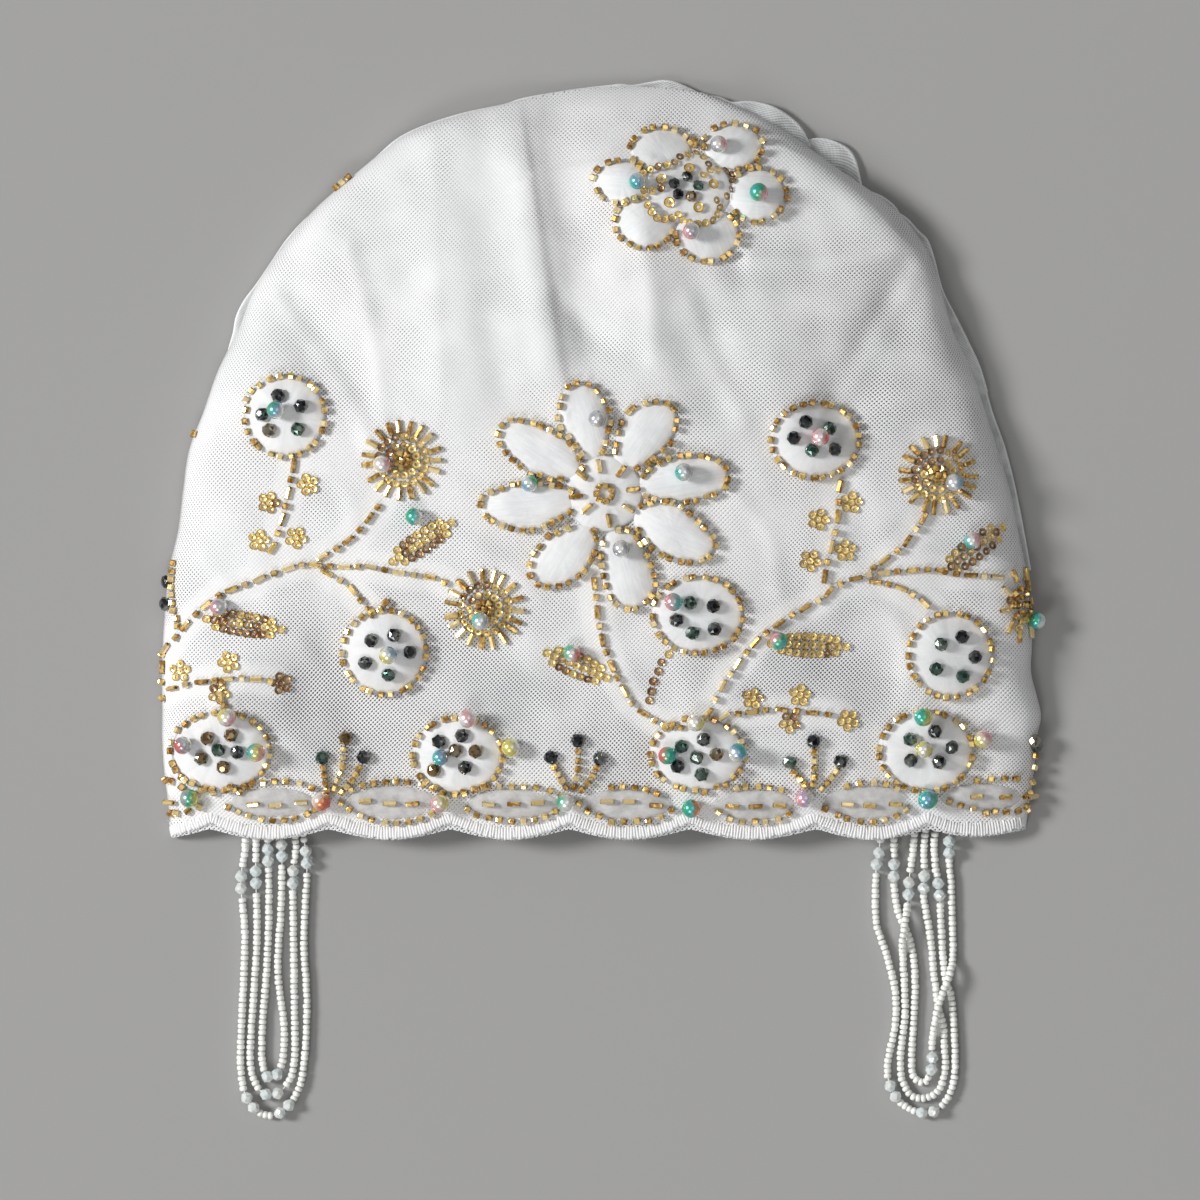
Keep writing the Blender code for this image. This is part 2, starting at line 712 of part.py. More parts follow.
def make_rose(cloth):
    centre_u, centre_v = ROSE_CENTRE

    def reach(angle):
        best = ROSE_WAIST
        for u, v, half_width, half_height in ROSE_PETALS:
            across = math.cos(angle) / half_width
            up = math.sin(angle) / half_height
            aside = (u - centre_u) / half_width
            above = (centre_v - v) / half_height
            square = across ** 2 + up ** 2
            middle = across * aside + up * above
            room = middle ** 2 - square * (aside ** 2 + above ** 2 - 1)
            if room > 0:
                best = max(best, (middle + math.sqrt(room)) / square)
        return best

    count = len(ROSE_PETALS) * PETAL_POINTS
    rose = make_pad(
        "rose", "padding", cloth, centre_u, centre_v, reach, ROSE_HEIGHT, count, ROSE_RINGS)
    set_crystals(rose, ROSE_CRYSTALS, SMALL_CRYSTAL_RADIUS)
    return rose


def seat_ball(tree, u, v, radius):
    """Middle of a ball that comes down on the pieces under it until the gap is left."""
    x, y = to_x(u), to_y(v)
    low = height_on(tree, x, y) + radius
    while tree.find_nearest(Vector((x, y, low)))[3] < radius + GAP:
        low += SEAT_STEP
    return Vector((x, y, low))


def make_pearls(tree):
    pearls = []
    for name, u, v, radius in PEARLS:
        middle = seat_ball(tree, u, v, radius * MM)
        loops = []
        for k in range(PEARL_RINGS):
            tilt = math.pi * (k + 1) / (PEARL_RINGS + 1) - math.pi / 2
            loops.append([
                middle + radius * MM * Vector((
                    math.cos(tilt) * math.cos(2 * math.pi * side / PEARL_SIDES),
                    math.cos(tilt) * math.sin(2 * math.pi * side / PEARL_SIDES),
                    math.sin(tilt)))
                for side in range(PEARL_SIDES)])
        pole = Vector((0, 0, radius * MM))
        shell = bmesh.new()
        skin(shell, loops, middle - pole, middle + pole)
        pearls.append(add_object(name, finish_mesh(name, shell), "pearl"))
    return pearls


def smooth_route(rows):
    """Finely spaced points on a smooth curve through a string's rows, with their lift."""
    knots = [(to_x(u), to_y(v), lift * MM) for u, v, lift in rows]
    route = []
    for k in range(len(knots) - 1):
        before = knots[max(k - 1, 0)]
        start, end = knots[k], knots[k + 1]
        after = knots[min(k + 2, len(knots) - 1)]
        for part in range(STRING_PARTS):
            t = part / STRING_PARTS
            route.append(tuple(
                0.5 * (2 * start[axis] + (end[axis] - before[axis]) * t
                       + (2 * before[axis] - 5 * start[axis] + 4 * end[axis] - after[axis]) * t ** 2
                       + (3 * start[axis] - before[axis] - 3 * end[axis] + after[axis]) * t ** 3)
                for axis in range(3)))
    route.append(knots[-1])
    return route


def bed_height(y):
    """Height that a string's underside has at a y: over the back hem, then on the floor."""
    edge = to_y(HEM_STEP_V)
    over_hem = BORDER_WALL + GAP
    share = min(max((y - edge) / HEM_SLOPE + 0.5, 0.0), 1.0)
    return FLOOR_CLEAR + over_hem * share * share * (3 - 2 * share)


def string_points(rows, crystals):
    """Points of a string and its radius at each, thicker where it carries crystals."""
    route = smooth_route(rows)
    lengths = [0.0]
    for start, end in zip(route, route[1:]):
        lengths.append(lengths[-1] + math.hypot(end[0] - start[0], end[1] - start[1]))
    swells = []
    for u, v in crystals:
        away = [math.hypot(point[0] - to_x(u), point[1] - to_y(v)) for point in route]
        swells.append(lengths[away.index(min(away))])
    wanted = {0.0: 1.0, lengths[-1]: 1.0}
    for swell in swells:
        for offset, radius in CRYSTAL_SWELL:
            wanted[swell + offset * MM] = radius
    for u, v, lift in rows:
        away = [math.hypot(point[0] - to_x(u), point[1] - to_y(v)) for point in route]
        if lift > 0:
            wanted[lengths[away.index(min(away))]] = 1.0
    free = 0.0
    while free < lengths[-1]:
        free += STRING_POINT_SPACING
        if min(abs(free - taken) for taken in wanted) > CLOSEST_STRING_POINTS:
            wanted[free] = 1.0
    points = []
    for place in sorted(wanted):
        if place < 0 or place > lengths[-1]:
            continue
        k = min(bisect.bisect_right(lengths, place), len(lengths) - 1)
        share = (place - lengths[k - 1]) / (lengths[k] - lengths[k - 1])
        x, y, lift = (route[k - 1][axis] + share * (route[k][axis] - route[k - 1][axis])
                      for axis in range(3))
        radius = wanted[place]
        points.append((x, y, bed_height(y) + lift + radius * STRING_RADIUS, radius))
    return points


def make_strings():
    crystals = {row[0]: row[1:] for row in STRING_CRYSTALS}
    made = []
    for name, rows in STRINGS:
        points = string_points(rows, crystals[name])
        curve = bpy.data.curves.new(name, "CURVE")
        curve.dimensions = "3D"
        curve.bevel_depth = STRING_RADIUS
        curve.bevel_resolution = 2
        curve.use_fill_caps = True
        spline = curve.splines.new("POLY")
        spline.points.add(len(points) - 1)
        for knot, (x, y, z, radius) in zip(spline.points, points):
            knot.co = (x, y, z, 1.0)
            knot.radius = radius
        curve.materials.append(material("white_bead"))
        string = bpy.data.objects.new(name, curve)
        bpy.context.scene.collection.objects.link(string)
        made.append(string)
    return made


def main():
    remove_everything()
    cloth_pieces = [make_crown(), make_hem_edging()]
    make_strings()
    cloth = tree_of(cloth_pieces)
    pads = make_discs(cloth) + make_sunbursts(cloth) + make_leaves(cloth) + make_garland(cloth)
    pads += [make_daisy(cloth), make_rose(cloth)]
    make_pearls(tree_of(cloth_pieces + pads))


main()
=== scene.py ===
"""Beaded turban, dressed.

A soft cap of white stretch net lies on its back, front side up, with padded flowers, gold
beads, sequins, crystals and pearls sewn to it and looped strings of beads under its hem.
Metres, +Z up, the hem towards -Y. Places on the front are in steps of 0.29 mm: u to the
right, v down.
"""
import math
import random

import bpy
import numpy as np
from bpy.props import FloatProperty, FloatVectorProperty, PointerProperty
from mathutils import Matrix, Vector
from mathutils.bvhtree import BVHTree
from mathutils.kdtree import KDTree


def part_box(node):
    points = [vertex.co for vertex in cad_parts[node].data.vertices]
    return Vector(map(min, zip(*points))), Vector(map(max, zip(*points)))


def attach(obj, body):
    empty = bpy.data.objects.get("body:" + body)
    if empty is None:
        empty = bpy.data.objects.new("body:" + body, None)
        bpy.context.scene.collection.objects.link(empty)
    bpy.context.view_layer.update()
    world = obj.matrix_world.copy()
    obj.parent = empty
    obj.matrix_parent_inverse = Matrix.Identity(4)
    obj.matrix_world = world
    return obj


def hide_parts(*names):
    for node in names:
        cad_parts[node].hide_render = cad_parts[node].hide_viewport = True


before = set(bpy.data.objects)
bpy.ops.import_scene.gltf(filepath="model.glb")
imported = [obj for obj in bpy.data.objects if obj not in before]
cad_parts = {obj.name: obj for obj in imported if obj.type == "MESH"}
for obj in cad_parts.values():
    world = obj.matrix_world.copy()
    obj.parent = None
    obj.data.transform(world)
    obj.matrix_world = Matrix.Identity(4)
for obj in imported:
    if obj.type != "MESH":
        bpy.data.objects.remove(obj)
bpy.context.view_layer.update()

bl_info = {
    "name": "Beaded Turban",
    "version": (1, 0, 0),
    "blender": (4, 5, 0),
    "location": "3D View > Sidebar > Turban",
    "description": "Builds a beaded net turban with its pads, beads, pearls and strings",
    "category": "Add Mesh",
}

MM = 0.001
STEP = 0.29 * MM
CENTRE_U = 598.7
CENTRE_V = 601.8

# Crown
NET_WALL = 1.3 * MM
TOP_V = 86
HEM_V = 840
EDGE_POWER = 16
TOP_POWER = 12
DOME_POWER = 1.15
HEM_SHARE = 0.06
FRONT_COLUMNS = 230
BACK_COLUMNS = 60
CROWN_ROWS = 230
BACK_LIFT = 0.45 * MM
BACKING_REACH = 5.6 * MM
ROW_EASING = 1.75
TOP_GAP = 0.6
CREASE_SHARE = 0.6
RIPPLE_COUNT = 14
RIPPLE_SLOPE = 0.0042
# Places across and up the cap, as shares, between which a step's height begins to use cloth
FOLD_BAND = (0.80, 0.95)
CLOTH_WIDTH = 0.56
CLOTH_HEIGHT = 0.24
FLAT_MIDDLE = 0.41
FLAT_BOTTOM = 0.075
LOOSE_WIDTH = 0.4
LOOSE_HEIGHT = 0.24
LOOSE_OPENNESS = 0.6
# Pattern of the net: slant of its rows in degrees, rows and eyes to a pitch, edge of an eye
NET_SLANT = 44
ROWS_TO_PITCH = 1.06
EYES_TO_PITCH = 0.94
EYE_SHARPNESS = 3.4
# reach outward and height in mm of a lobe of loose net, over its rolled edge and back under
LOBE_SECTION = (
    (0.0, 3.4), (0.25, 3.2), (0.5, 2.9), (0.72, 2.6), (0.88, 2.3), (0.96, 2.0), (1.0, 1.55),
    (0.97, 1.1), (0.88, 0.85), (0.5, 0.65), (0.0, 0.5),
)
EDGE_VALLEY_V = 829
EDGE_BOTTOM_V = 839

# v, left u and right u of the front layer
OUTLINE = (
    (86, 630, 631), (90, 571, 688), (100, 522, 722), (113, 468, 752), (130, 415, 783),
    (150, 385, 812), (170, 360, 840), (210, 314, 896), (250, 280, 927), (290, 254, 942),
    (330, 238, 953), (370, 218, 972), (410, 204, 985), (450, 189, 998), (490, 183, 1010),
    (530, 178, 1018), (570, 169, 1026), (610, 165, 1030), (640, 163, 1032), (672, 162, 1031),
    (697, 162, 1037), (716, 162, 1041), (736, 162, 1037), (770, 164, 1034), (810, 169, 1028),
    (842, 172, 1024),
)

# share of the way from hem to top, rise at the side folds in mm, dome above it in mm
RISE = (
    (0.00, 4.6, 3.9), (0.12, 9.0, 6.8), (0.28, 12.0, 9.8), (0.45, 12.8, 11.8),
    (0.62, 12.8, 12.4), (0.78, 12.8, 10.4), (0.90, 12.2, 6.2), (0.97, 10.8, 2.4), (1.00, 9.5, 0.0),
)

# from u, v to u, v, half width in mm, rise in mm
FOLDS = (
    (448, 125, 452, 390, 10.0, 1.9),
    (512, 130, 545, 350, 7.5, 2.0),
    (560, 120, 590, 350, 8.0, -1.4),
    (640, 215, 655, 340, 9.0, 1.5),
    (700, 290, 715, 390, 9.0, -1.4),
    (530, 182, 640, 165, 8.0, 1.2),
    (745, 265, 905, 260, 8.0, -1.9),
    (915, 275, 845, 398, 9.0, -2.3),
    (285, 305, 350, 400, 9.0, -2.3),
    (840, 425, 955, 395, 9.0, -1.8),
    (945, 716, 1015, 718, 8.0, -1.6),
    (320, 700, 405, 755, 15.0, -3.4),
    (440, 655, 520, 705, 12.0, -2.4),
    (585, 700, 640, 760, 12.0, -1.8),
    (840, 650, 880, 700, 12.0, -1.8),
    (230, 690, 280, 640, 10.0, 1.6),
)

# Creases of the net: half width on each side of the line in mm, strength, then its u and v.
# On a line that runs down, the second side is the one to the right.
CREASES = (
    (7.0, 1.5, 1.1, (518, 108), (528, 170), (541, 250), (556, 345), (566, 400)),
    (3.0, 5.0, -0.7, (545, 125), (560, 210), (578, 300), (588, 360)),
    (5.0, 2.6, 0.5, (432, 135), (434, 250), (440, 410)),
    (5.0, 6.0, 0.5, (468, 122), (474, 260), (480, 420)),
    (5.0, 3.0, 0.5, (494, 118), (503, 240), (520, 380)),
    (5.0, 1.4, 1.2, (535, 178), (575, 169), (612, 163), (650, 160)),
    (3.0, 2.4, 1.9, (750, 262), (820, 263), (870, 258), (914, 250)),
    (7.0, 1.2, 1.7, (752, 134), (790, 152), (830, 172), (873, 209), (897, 235), (916, 250),
     (924, 264), (932, 290), (950, 325)),
    (3.5, 3.5, 1.2, (918, 262), (900, 300), (870, 350), (842, 402)),
    (3.0, 4.0, -0.6, (905, 270), (880, 312), (852, 362)),
    (3.0, 3.0, 0.9, (850, 418), (900, 402), (968, 388)),
    (3.0, 3.0, 1.2, (276, 296), (310, 340), (352, 402), (372, 450)),
    (4.0, 3.0, -1.0, (300, 300), (330, 350), (362, 395)),
    (2.5, 3.0, 0.9, (350, 250), (372, 330), (384, 420)),
    (3.0, 3.0, 0.5, (940, 712), (990, 714), (1030, 719)),
    (3.0, 3.5, -0.9, (560, 300), (600, 345), (640, 360)),
    (3.5, 3.0, 0.9, (690, 300), (706, 350), (742, 420)),
    (3.0, 3.0, 0.8, (640, 240), (652, 300), (650, 356)),
    (2.5, 2.5, 0.7, (205, 560), (240, 590), (290, 600), (330, 590)),
    (2.5, 3.0, 0.7, (450, 540), (500, 560), (540, 600)),
    (3.0, 2.5, 0.6, (330, 470), (350, 500), (352, 530)),
    (3.0, 2.5, 0.7, (868, 600), (900, 630), (905, 690), (880, 730)),
    (3.0, 2.5, 0.7, (300, 640), (330, 680), (400, 720), (430, 724)),
    (2.5, 2.5, 0.6, (520, 700), (560, 716), (620, 720)),
    (2.5, 2.5, 0.6, (740, 500), (770, 540), (776, 590)),
)

# Patches of opener net, painted darker, and of closer net, painted lighter: u, v, radius and how
# much opener. The patch at 335, 705 paints shade in the hollow there, and the one at 985, 700
# paints light where the cap's right side slopes away from the lamps.
OPEN_PATCHES = (
    (335, 705, 72, 0.34), (780, 662, 62, 0.34), (858, 228, 24, 0.20), (470, 690, 60, 0.12),
    (985, 700, 60, -0.34), (600, 735, 50, 0.10), (600, 640, 40, -0.10), (890, 345, 80, 0.16),
    (300, 380, 70, 0.14), (400, 250, 60, 0.12), (800, 300, 60, 0.12), (740, 420, 50, 0.10),
)
# What opens the net, and what closes it, as shares of its openness. Opener net shows more of its
# nearly black holes and has greyer threads, so the opening low down, in dips and in the creases'
# valleys is painted shade, and the closing on ridges is painted light.
OPENING = {"base": 0.36, "low": 0.15, "dip": 0.22, "valley": 0.14, "border": 0.55}
CLOSING = {"ridge": 0.20, "pleat": 0.24, "hem": 0.30, "stem": 0.50}
BACK_OPENNESS = 0.3
DEEP_DIP = 2.4 * MM
# v and u along the closed pleat above the daisy, and its half width in steps
PLEAT = ((120, 200, 300, 400), (545, 556, 573, 592))
PLEAT_WIDTH = 17

# Loose net of the back that shows beyond the front: u and v along its outer edge, then the
# u and v that it comes from under the front, one lobe each
LOBES = (
    (((352, 181), (380, 153), (401, 136), (430, 123), (466, 112), (504, 104), (523, 98),
      (562, 91), (600, 86), (625, 84)),
     ((372, 190), (400, 168), (430, 146), (470, 130), (520, 116), (600, 102), (640, 100))),
    (((590, 90), (617, 84), (632, 85), (650, 82), (663, 80), (676, 82), (690, 88), (704, 95)),
     ((590, 104), (640, 102), (704, 110))),
    (((700, 94), (720, 97), (732, 102), (745, 101), (758, 102), (775, 107), (792, 118),
      (803, 130), (811, 146)),
     ((690, 108), (730, 122), (770, 142), (800, 158))),
    (((806, 140), (817, 138), (832, 140), (848, 148), (856, 160), (861, 180), (864, 196)),
     ((790, 152), (820, 172), (846, 200))),
    (((862, 190), (870, 191), (882, 196), (893, 204), (900, 214), (902, 226)),
     ((850, 200), (872, 220), (890, 240))),
    (((894, 210), (907, 218), (919, 231), (928, 240), (935, 260), (943, 290), (956, 316),
      (968, 340), (980, 366), (988, 392)),
     ((880, 222), (905, 250), (920, 280), (936, 320), (955, 370), (970, 396))),
    (((976, 356), (984, 380), (992, 410), (1006, 450), (1016, 490), (1024, 530), (1031, 570)),
     ((958, 360), (972, 410), (988, 460), (1002, 520), (1012, 575))),
    (((328, 202), (306, 218), (286, 240), (271, 262), (256, 284), (244, 300), (236, 316),
      (233, 332), (229, 346), (224, 364)),
     ((332, 206), (318, 224), (300, 250), (284, 276), (270, 300), (258, 322), (250, 340),
      (236, 366))),
)

# Hem: u of the valleys between scallops, with one beyond each side fold
VALLEYS = (93, 211, 329, 451, 569, 689, 815, 928, 1046)
HEM_VALLEY_V = 817.5
HEM_BOTTOM_V = 831.5
CUSP = 0.22
SCALLOP_POWER = 0.8
BACK_SCALLOP_SHORTER = 3
RIGHT_CORNER_RISE = 5
BORDER_WALL = 1.6 * MM

# Stitched edge: places along it, its lift over the front and its height under the back
HEM_POINTS = 700
HEM_LIFT = 0.1 * MM
BACK_HEM_HEIGHT = 0.85 * MM
# share of the half width outward, share of the half thickness and how deep the painted shade is
HEM_SECTION = (
    (1.00, 0.0, 0.1), (0.90, 0.50, 0.0), (0.64, 0.86, 0.0), (0.44, 0.94, 0.0), (0.36, 0.90, 0.1),
    (0.27, 0.96, 0.0), (-0.10, 1.0, 0.0), (-0.46, 0.90, 0.0), (-0.80, 0.50, 0.1), (-1.0, 0.0, 0.2),
    (-0.7, -0.8, 0.0), (0.0, -1.0, 0.0), (0.7, -0.8, 0.0),
)
# swell and how deep the painted shade is at four places along a stitch
STITCH = ((0.50, 1.0), (0.90, 0.35), (1.0, 0.0), (0.90, 0.35))
HEM_THICKNESS = 1.35 * MM
# How far the band draws in between two stitches, along its inner and its outer side
TOOTH = {"inner": 0.5, "outer": 0.2}
NARROW_VALLEY = 0.76
FRINGE_COUNT = 3600
INNER_FRINGE = 0.35
# Length and radius of a loose thread end in mm
FRINGE_LENGTH = (0.4, 1.2)
FRINGE_RADIUS = 0.08

# Where the front turns down: its least upright share, and the height items sit at there
STEEP = 0.3
SIDE_HEIGHT = 5.5 * MM
# Items over a nearly level place are moved back over it after they stand off
NEARLY_LEVEL = 0.7
SEAT_ROUNDS = 3
HIGH_ABOVE = 0.2
DOWN = Vector((0, 0, -1))

# name, u, v, half width and half height in steps, height in mm
DISCS = (
    ("disc_1", 286, 417, 41, 41, 3.0), ("disc_2", 385, 652, 43, 43, 3.0),
    ("disc_3", 814, 441, 45, 38, 3.0), ("disc_4", 697, 615, 46, 39, 3.0),
    ("disc_5", 949, 655, 43, 43, 3.0), ("disc_6", 222, 751, 50, 40, 3.2),
    ("disc_7", 458, 755, 46, 38, 3.2), ("disc_8", 697, 754, 48, 37, 3.2),
    ("disc_9", 925, 751, 48, 41, 3.2),
)
# name, u, v, half width and half height of each oval, then u and v along the beads over and
# under it and of its tubes
OVALS = (
    ("garland_1", 273, 802, 43, 16, ((236, 798), (250, 786), (277, 781), (300, 783), (318, 790)),
     ((224, 805), (245, 814), (270, 820), (300, 817), (322, 805)),
     ((253.5, 804), (276, 805), (302, 802))),
    ("garland_2", 392, 802, 48, 18, ((347, 791), (368, 784), (398, 781), (425, 785), (448, 795)),
     ((336, 798), (358, 814), (388, 822.5), (422, 818), (449, 803)),
     ((366, 800.5), (390, 803), (413, 803.5))),
    ("garland_3", 513, 803, 47, 16, ((458, 795), (482, 787), (512, 786), (542, 788), (567, 798)),
     ((463, 807), (485, 816), (512, 821), (540, 818), (561, 808)),
     ((489, 804), (514, 803.5), (538, 802))),
    ("garland_4", 626, 804, 48, 17, ((606, 788), (622, 786), (644, 789), (662, 796)),
     ((574, 799), (592, 813), (624, 821), (656, 817), (678, 806)),
     ((607, 801), (629, 801), (656, 805))),
    ("garland_5", 753, 804, 42, 17, ((729, 789), (748, 786), (768, 787), (786, 791)),
     ((713, 809), (732, 817), (751, 821), (775, 818), (794, 811)),
     ((732, 806), (755, 806), (779, 805))),
    ("garland_6", 866, 802, 46, 18, ((840, 788), (858, 783), (882, 783), (904, 791)),
     ((820, 806), (842, 817), (869, 822), (893, 817), (911, 806)),
     ((847, 804), (869, 805.5), (895, 804))),
    ("garland_7", 980, 797, 42, 15, ((971, 781), (988, 779), (1006, 778), (1024, 779)),
     ((944, 800), (970, 808), (1000, 811.5), (1022, 810), (1035, 806)),
     ((976, 796), (1005, 797), (1030, 796))),
)
DAISY_PETALS = (
    ((600, 458), (607, 438), (608, 419), (603, 400), (592, 388), (581, 384), (569, 388),
     (561, 400), (560, 415), (563, 428), (572, 442), (584, 460)),
    ((614, 460), (619, 432), (627, 414), (641, 405), (660, 403), (671, 408), (676, 418),
     (674, 432), (665, 446), (650, 459), (632, 472)),
    ((640, 480), (655, 466), (678, 457), (704, 457), (722, 465), (727, 479), (721, 491),
     (703, 498), (675, 501), (655, 500), (640, 494)),
    ((636, 508), (652, 503), (670, 503), (685, 511), (708, 533), (715, 545), (708, 557),
     (696, 562), (680, 562), (663, 556), (648, 545), (636, 528)),
    ((612, 532), (631, 532), (643, 549), (653, 573), (655, 588), (648, 600), (635, 609),
     (620, 607), (610, 597), (603, 575), (601, 555), (604, 540)),
    ((590, 526), (596, 538), (594, 555), (585, 570), (574, 580), (560, 586), (547, 587),
     (535, 582), (530, 570), (533, 556), (542, 545), (556, 534), (572, 527)),
    ((574, 510), (550, 524), (528, 531), (505, 527), (488, 518), (481, 507), (483, 498),
     (490, 493), (503, 489), (517, 487), (540, 486), (562, 487), (576, 494)),
    ((584, 474), (576, 452), (566, 441), (549, 431), (529, 423), (513, 421), (504, 425),
     (499, 433), (500, 443), (508, 456), (526, 471), (545, 477), (565, 480)),
)
DAISY_CENTRE = (604, 494)
DAISY_RAYS = ((599, 467), (621, 472), (633, 490), (628, 509), (609, 521), (587, 509),
              (576, 497), (582, 476))
ROSE_CENTRE = (688, 190)
# u, v, half width and half height of each petal of the rose
ROSE_PETALS = (
    (661, 152, 30, 23), (733, 148, 29, 23), (757, 197, 28, 27), (707, 236, 32, 27),
    (645, 225, 31, 25), (622, 184, 28, 21),
)
ROSE_DROP = (694, 144)
ROSE_WAVES = (
    ((643, 175), (651, 171), (660, 168), (672, 166), (679, 159), (690, 156), (699, 157),
     (706, 162), (708, 166)),
    ((703, 177), (710, 172), (719, 171), (727, 173), (733, 178), (733, 185), (730, 191),
     (726, 198)),
    ((716, 202), (719, 209), (717, 216), (712, 222), (702, 225), (690, 225), (683, 222),
     (678, 216)),
    ((672, 220), (664, 221), (657, 220), (652, 215), (647, 206), (643, 201)),
    ((644, 192), (650, 193), (656, 192), (661, 190)),
)

# name, u, v, radius and how much of its width shows; the last one lies round the side fold
SUNBURSTS = (
    ("sunburst_1", 403, 461, 41, 1.0), ("sunburst_2", 485, 609, 41, 1.0),
    ("sunburst_3", 937, 475, 41, 1.0), ("sunburst_4", 1021, 605, 39, 0.5),
)
RAY_COUNT = 19
RAY_INSET = 7.5
# reach in steps, count, lean and lift in mm of the rings of sequins
SEQUIN_RINGS = ((23.5, 17, 0.42, 0.9), (14.5, 11, 0.30, 1.5))
# reach in steps and count of the rings of beads on top, whole and seen from the side
MOUND_RINGS = ((7.0, 7), (0.0, 1))
SIDE_MOUND_RINGS = ((16.0, 8), (8.0, 4))

# name, from u, v to u, v, half width in steps and how much darker its sequins are painted, as
# painted dark reflection
LEAVES = (
    ("leaf_1", 390, 564, 455, 521, 13, 0.3), ("leaf_2", 203, 618, 286, 630, 13, 0.45),
    ("leaf_3", 543, 651, 610, 679, 14, 0.1), ("leaf_4", 940, 574, 1005, 525, 14, 0.3),
    ("leaf_5", 766, 643, 849, 647, 13, 0.0),
)

# Beads: lines of gold beads with tubes between them, by u and v
STEMS = (
    ((296, 460), (290, 490), (287, 505), (281, 527), (275, 545), (265, 561)),
    ((164, 654), (174, 640), (197, 614), (223, 594), (253, 582), (282, 571), (298, 566),
     (312, 565), (341, 567), (370, 567), (400, 573), (433, 578), (449, 585)),
    ((318, 560), (345, 544), (365, 525), (384, 500)),
    ((322, 570), (348, 585), (365, 605), (372, 614)),
    ((166, 690), (189, 684), (207, 681), (237, 678), (256, 679), (276, 682)),
    ((224, 702), (222, 690), (224, 676)),
    ((594, 577), (595, 591), (598, 618), (603, 643), (608, 657), (618, 680), (626, 694),
     (634, 706), (646, 715), (659, 723), (673, 727), (688, 727)),
    ((705, 720), (710, 709), (720, 689), (737, 664), (756, 641), (779, 623), (807, 606),
     (822, 598), (835, 586), (864, 576), (881, 573), (927, 570), (955, 574), (1000, 577)),
    ((840, 480), (838, 494), (836, 521), (831, 545), (825, 568), (822, 590)),
    ((926, 513), (904, 544), (884, 560), (868, 571)),
    ((868, 581), (896, 587), (919, 600), (935, 614)),
    ((719, 721), (727, 714), (742, 713), (774, 709), (808, 712), (826, 714), (842, 717)),
)
SPRIGS = (
    ((328, 794), (326, 780), (323, 764)), ((334, 792), (342, 770), (345, 745)),
    ((340, 794), (353, 780), (361, 764)),
    ((568, 790), (560, 777), (553, 763)), ((574, 790), (578, 770), (578, 747)),
    ((579, 793), (590, 780), (598, 764)),
    ((806, 788), (798, 778), (791, 769)), ((812, 788), (814, 770), (813, 748)),
    ((819, 791), (829, 780), (838, 768)),
    ((380, 613), (384, 605), (390, 600)),
    ((176, 560), (174, 590), (178, 630)), ((192, 430), (196, 438)),
    ((334, 191), (343, 184), (353, 177)),
)
# Beads sewn one by one at both side edges and the left corner of the hem, and tubes with
# their turn
LONE_BEADS = (
    (165, 654), (159, 682), (161, 698), (161, 781), (171, 781), (182, 777), (182, 787), (193, 783),
    (202, 790), (214, 792), (231, 787), (166, 814), (176, 813), (188, 811), (200, 807), (225, 706),
    (1040, 756), (1041, 768), (1039, 783), (1038, 795), (1033, 811),
)
LONE_TUBES = ((160, 667, 1.5), (171, 802, 0.05), (1031, 798, -0.2))
# u, v and how dark each small sequin flower is painted, as painted dark reflection
MINI_FLOWERS = (
    (309, 485, 0.3), (270, 503, 0.6), (260, 541, 0.2), (297, 538, 0.5), (230, 662, 0.4),
    (181, 671, 0.0), (220, 693, 0.7), (282, 683, 0.9), (850, 503, 0.3), (817, 520, 0.5),
    (844, 551, 0.1), (809, 561, 0.6), (752, 698, 0.5), (799, 695, 0.2), (789, 722, 0.7),
    (847, 720, 0.4),
)
# u, v and tint of the sequins in a line; a high tint paints a sequin dark, as painted dark
# reflection
SEQUIN_LINE = (
    (668, 654, 0.1), (661, 662, 0.95), (658, 671, 0.85), (653, 681, 0.9), (651, 691, 0.95),
    (649, 700, 0.8),
)
MINI_REACH = 7.3
LEAF_ROWS = (-0.78, 0.0, 0.78)
# u and v of the large sequins in the rose, and of the middle that they lean away from
LARGE_SEQUINS = ((661, 181), (689, 170), (713, 186), (669, 204), (698, 209))
LARGE_MIDDLE = (688, 189)

# u, v and hue of each dark crystal: 0 black, 1 green, 2 brown
DARK_CRYSTALS = (
    (279, 396, 0), (263, 415, 0), (270, 431, 2), (299, 430, 1), (302, 407, 0),
    (372, 640, 0), (395, 635, 0), (366, 663, 0), (389, 675, 1), (411, 652, 0),
    (805, 423, 0), (829, 429, 1), (793, 439, 0), (811, 451, 1), (834, 450, 0),
    (690, 603, 1), (713, 606, 0), (676, 620, 0), (692, 633, 1), (714, 629, 0),
    (961, 637, 0), (940, 644, 1), (974, 657, 0), (935, 669, 1), (962, 676, 1),
    (232, 735, 2), (208, 738, 2), (219, 750, 1), (238, 752, 0), (202, 758, 2), (224, 767, 2),
    (439, 741, 0), (462, 735, 0), (456, 750, 2), (476, 751, 2), (465, 767, 0), (434, 770, 2),
    (703, 739, 0), (681, 746, 1), (696, 757, 1), (716, 754, 2), (677, 766, 0), (701, 774, 1),
    (909, 739, 1), (934, 731, 0), (951, 747, 0), (938, 762, 0), (910, 760, 0),
    (323, 757, 1), (346, 738, 2), (364, 757, 0), (551, 757, 0), (578, 740, 0), (600, 758, 0),
    (789, 762, 1), (813, 741, 0), (840, 761, 0), (168, 582, 0), (166, 604, 0),
    (1035, 741, 2), (1041, 746, 0),
)
ROSE_CRYSTALS = ((674, 185, 0), (687, 178, 0), (698, 187, 1), (691, 198, 2), (678, 196, 0))

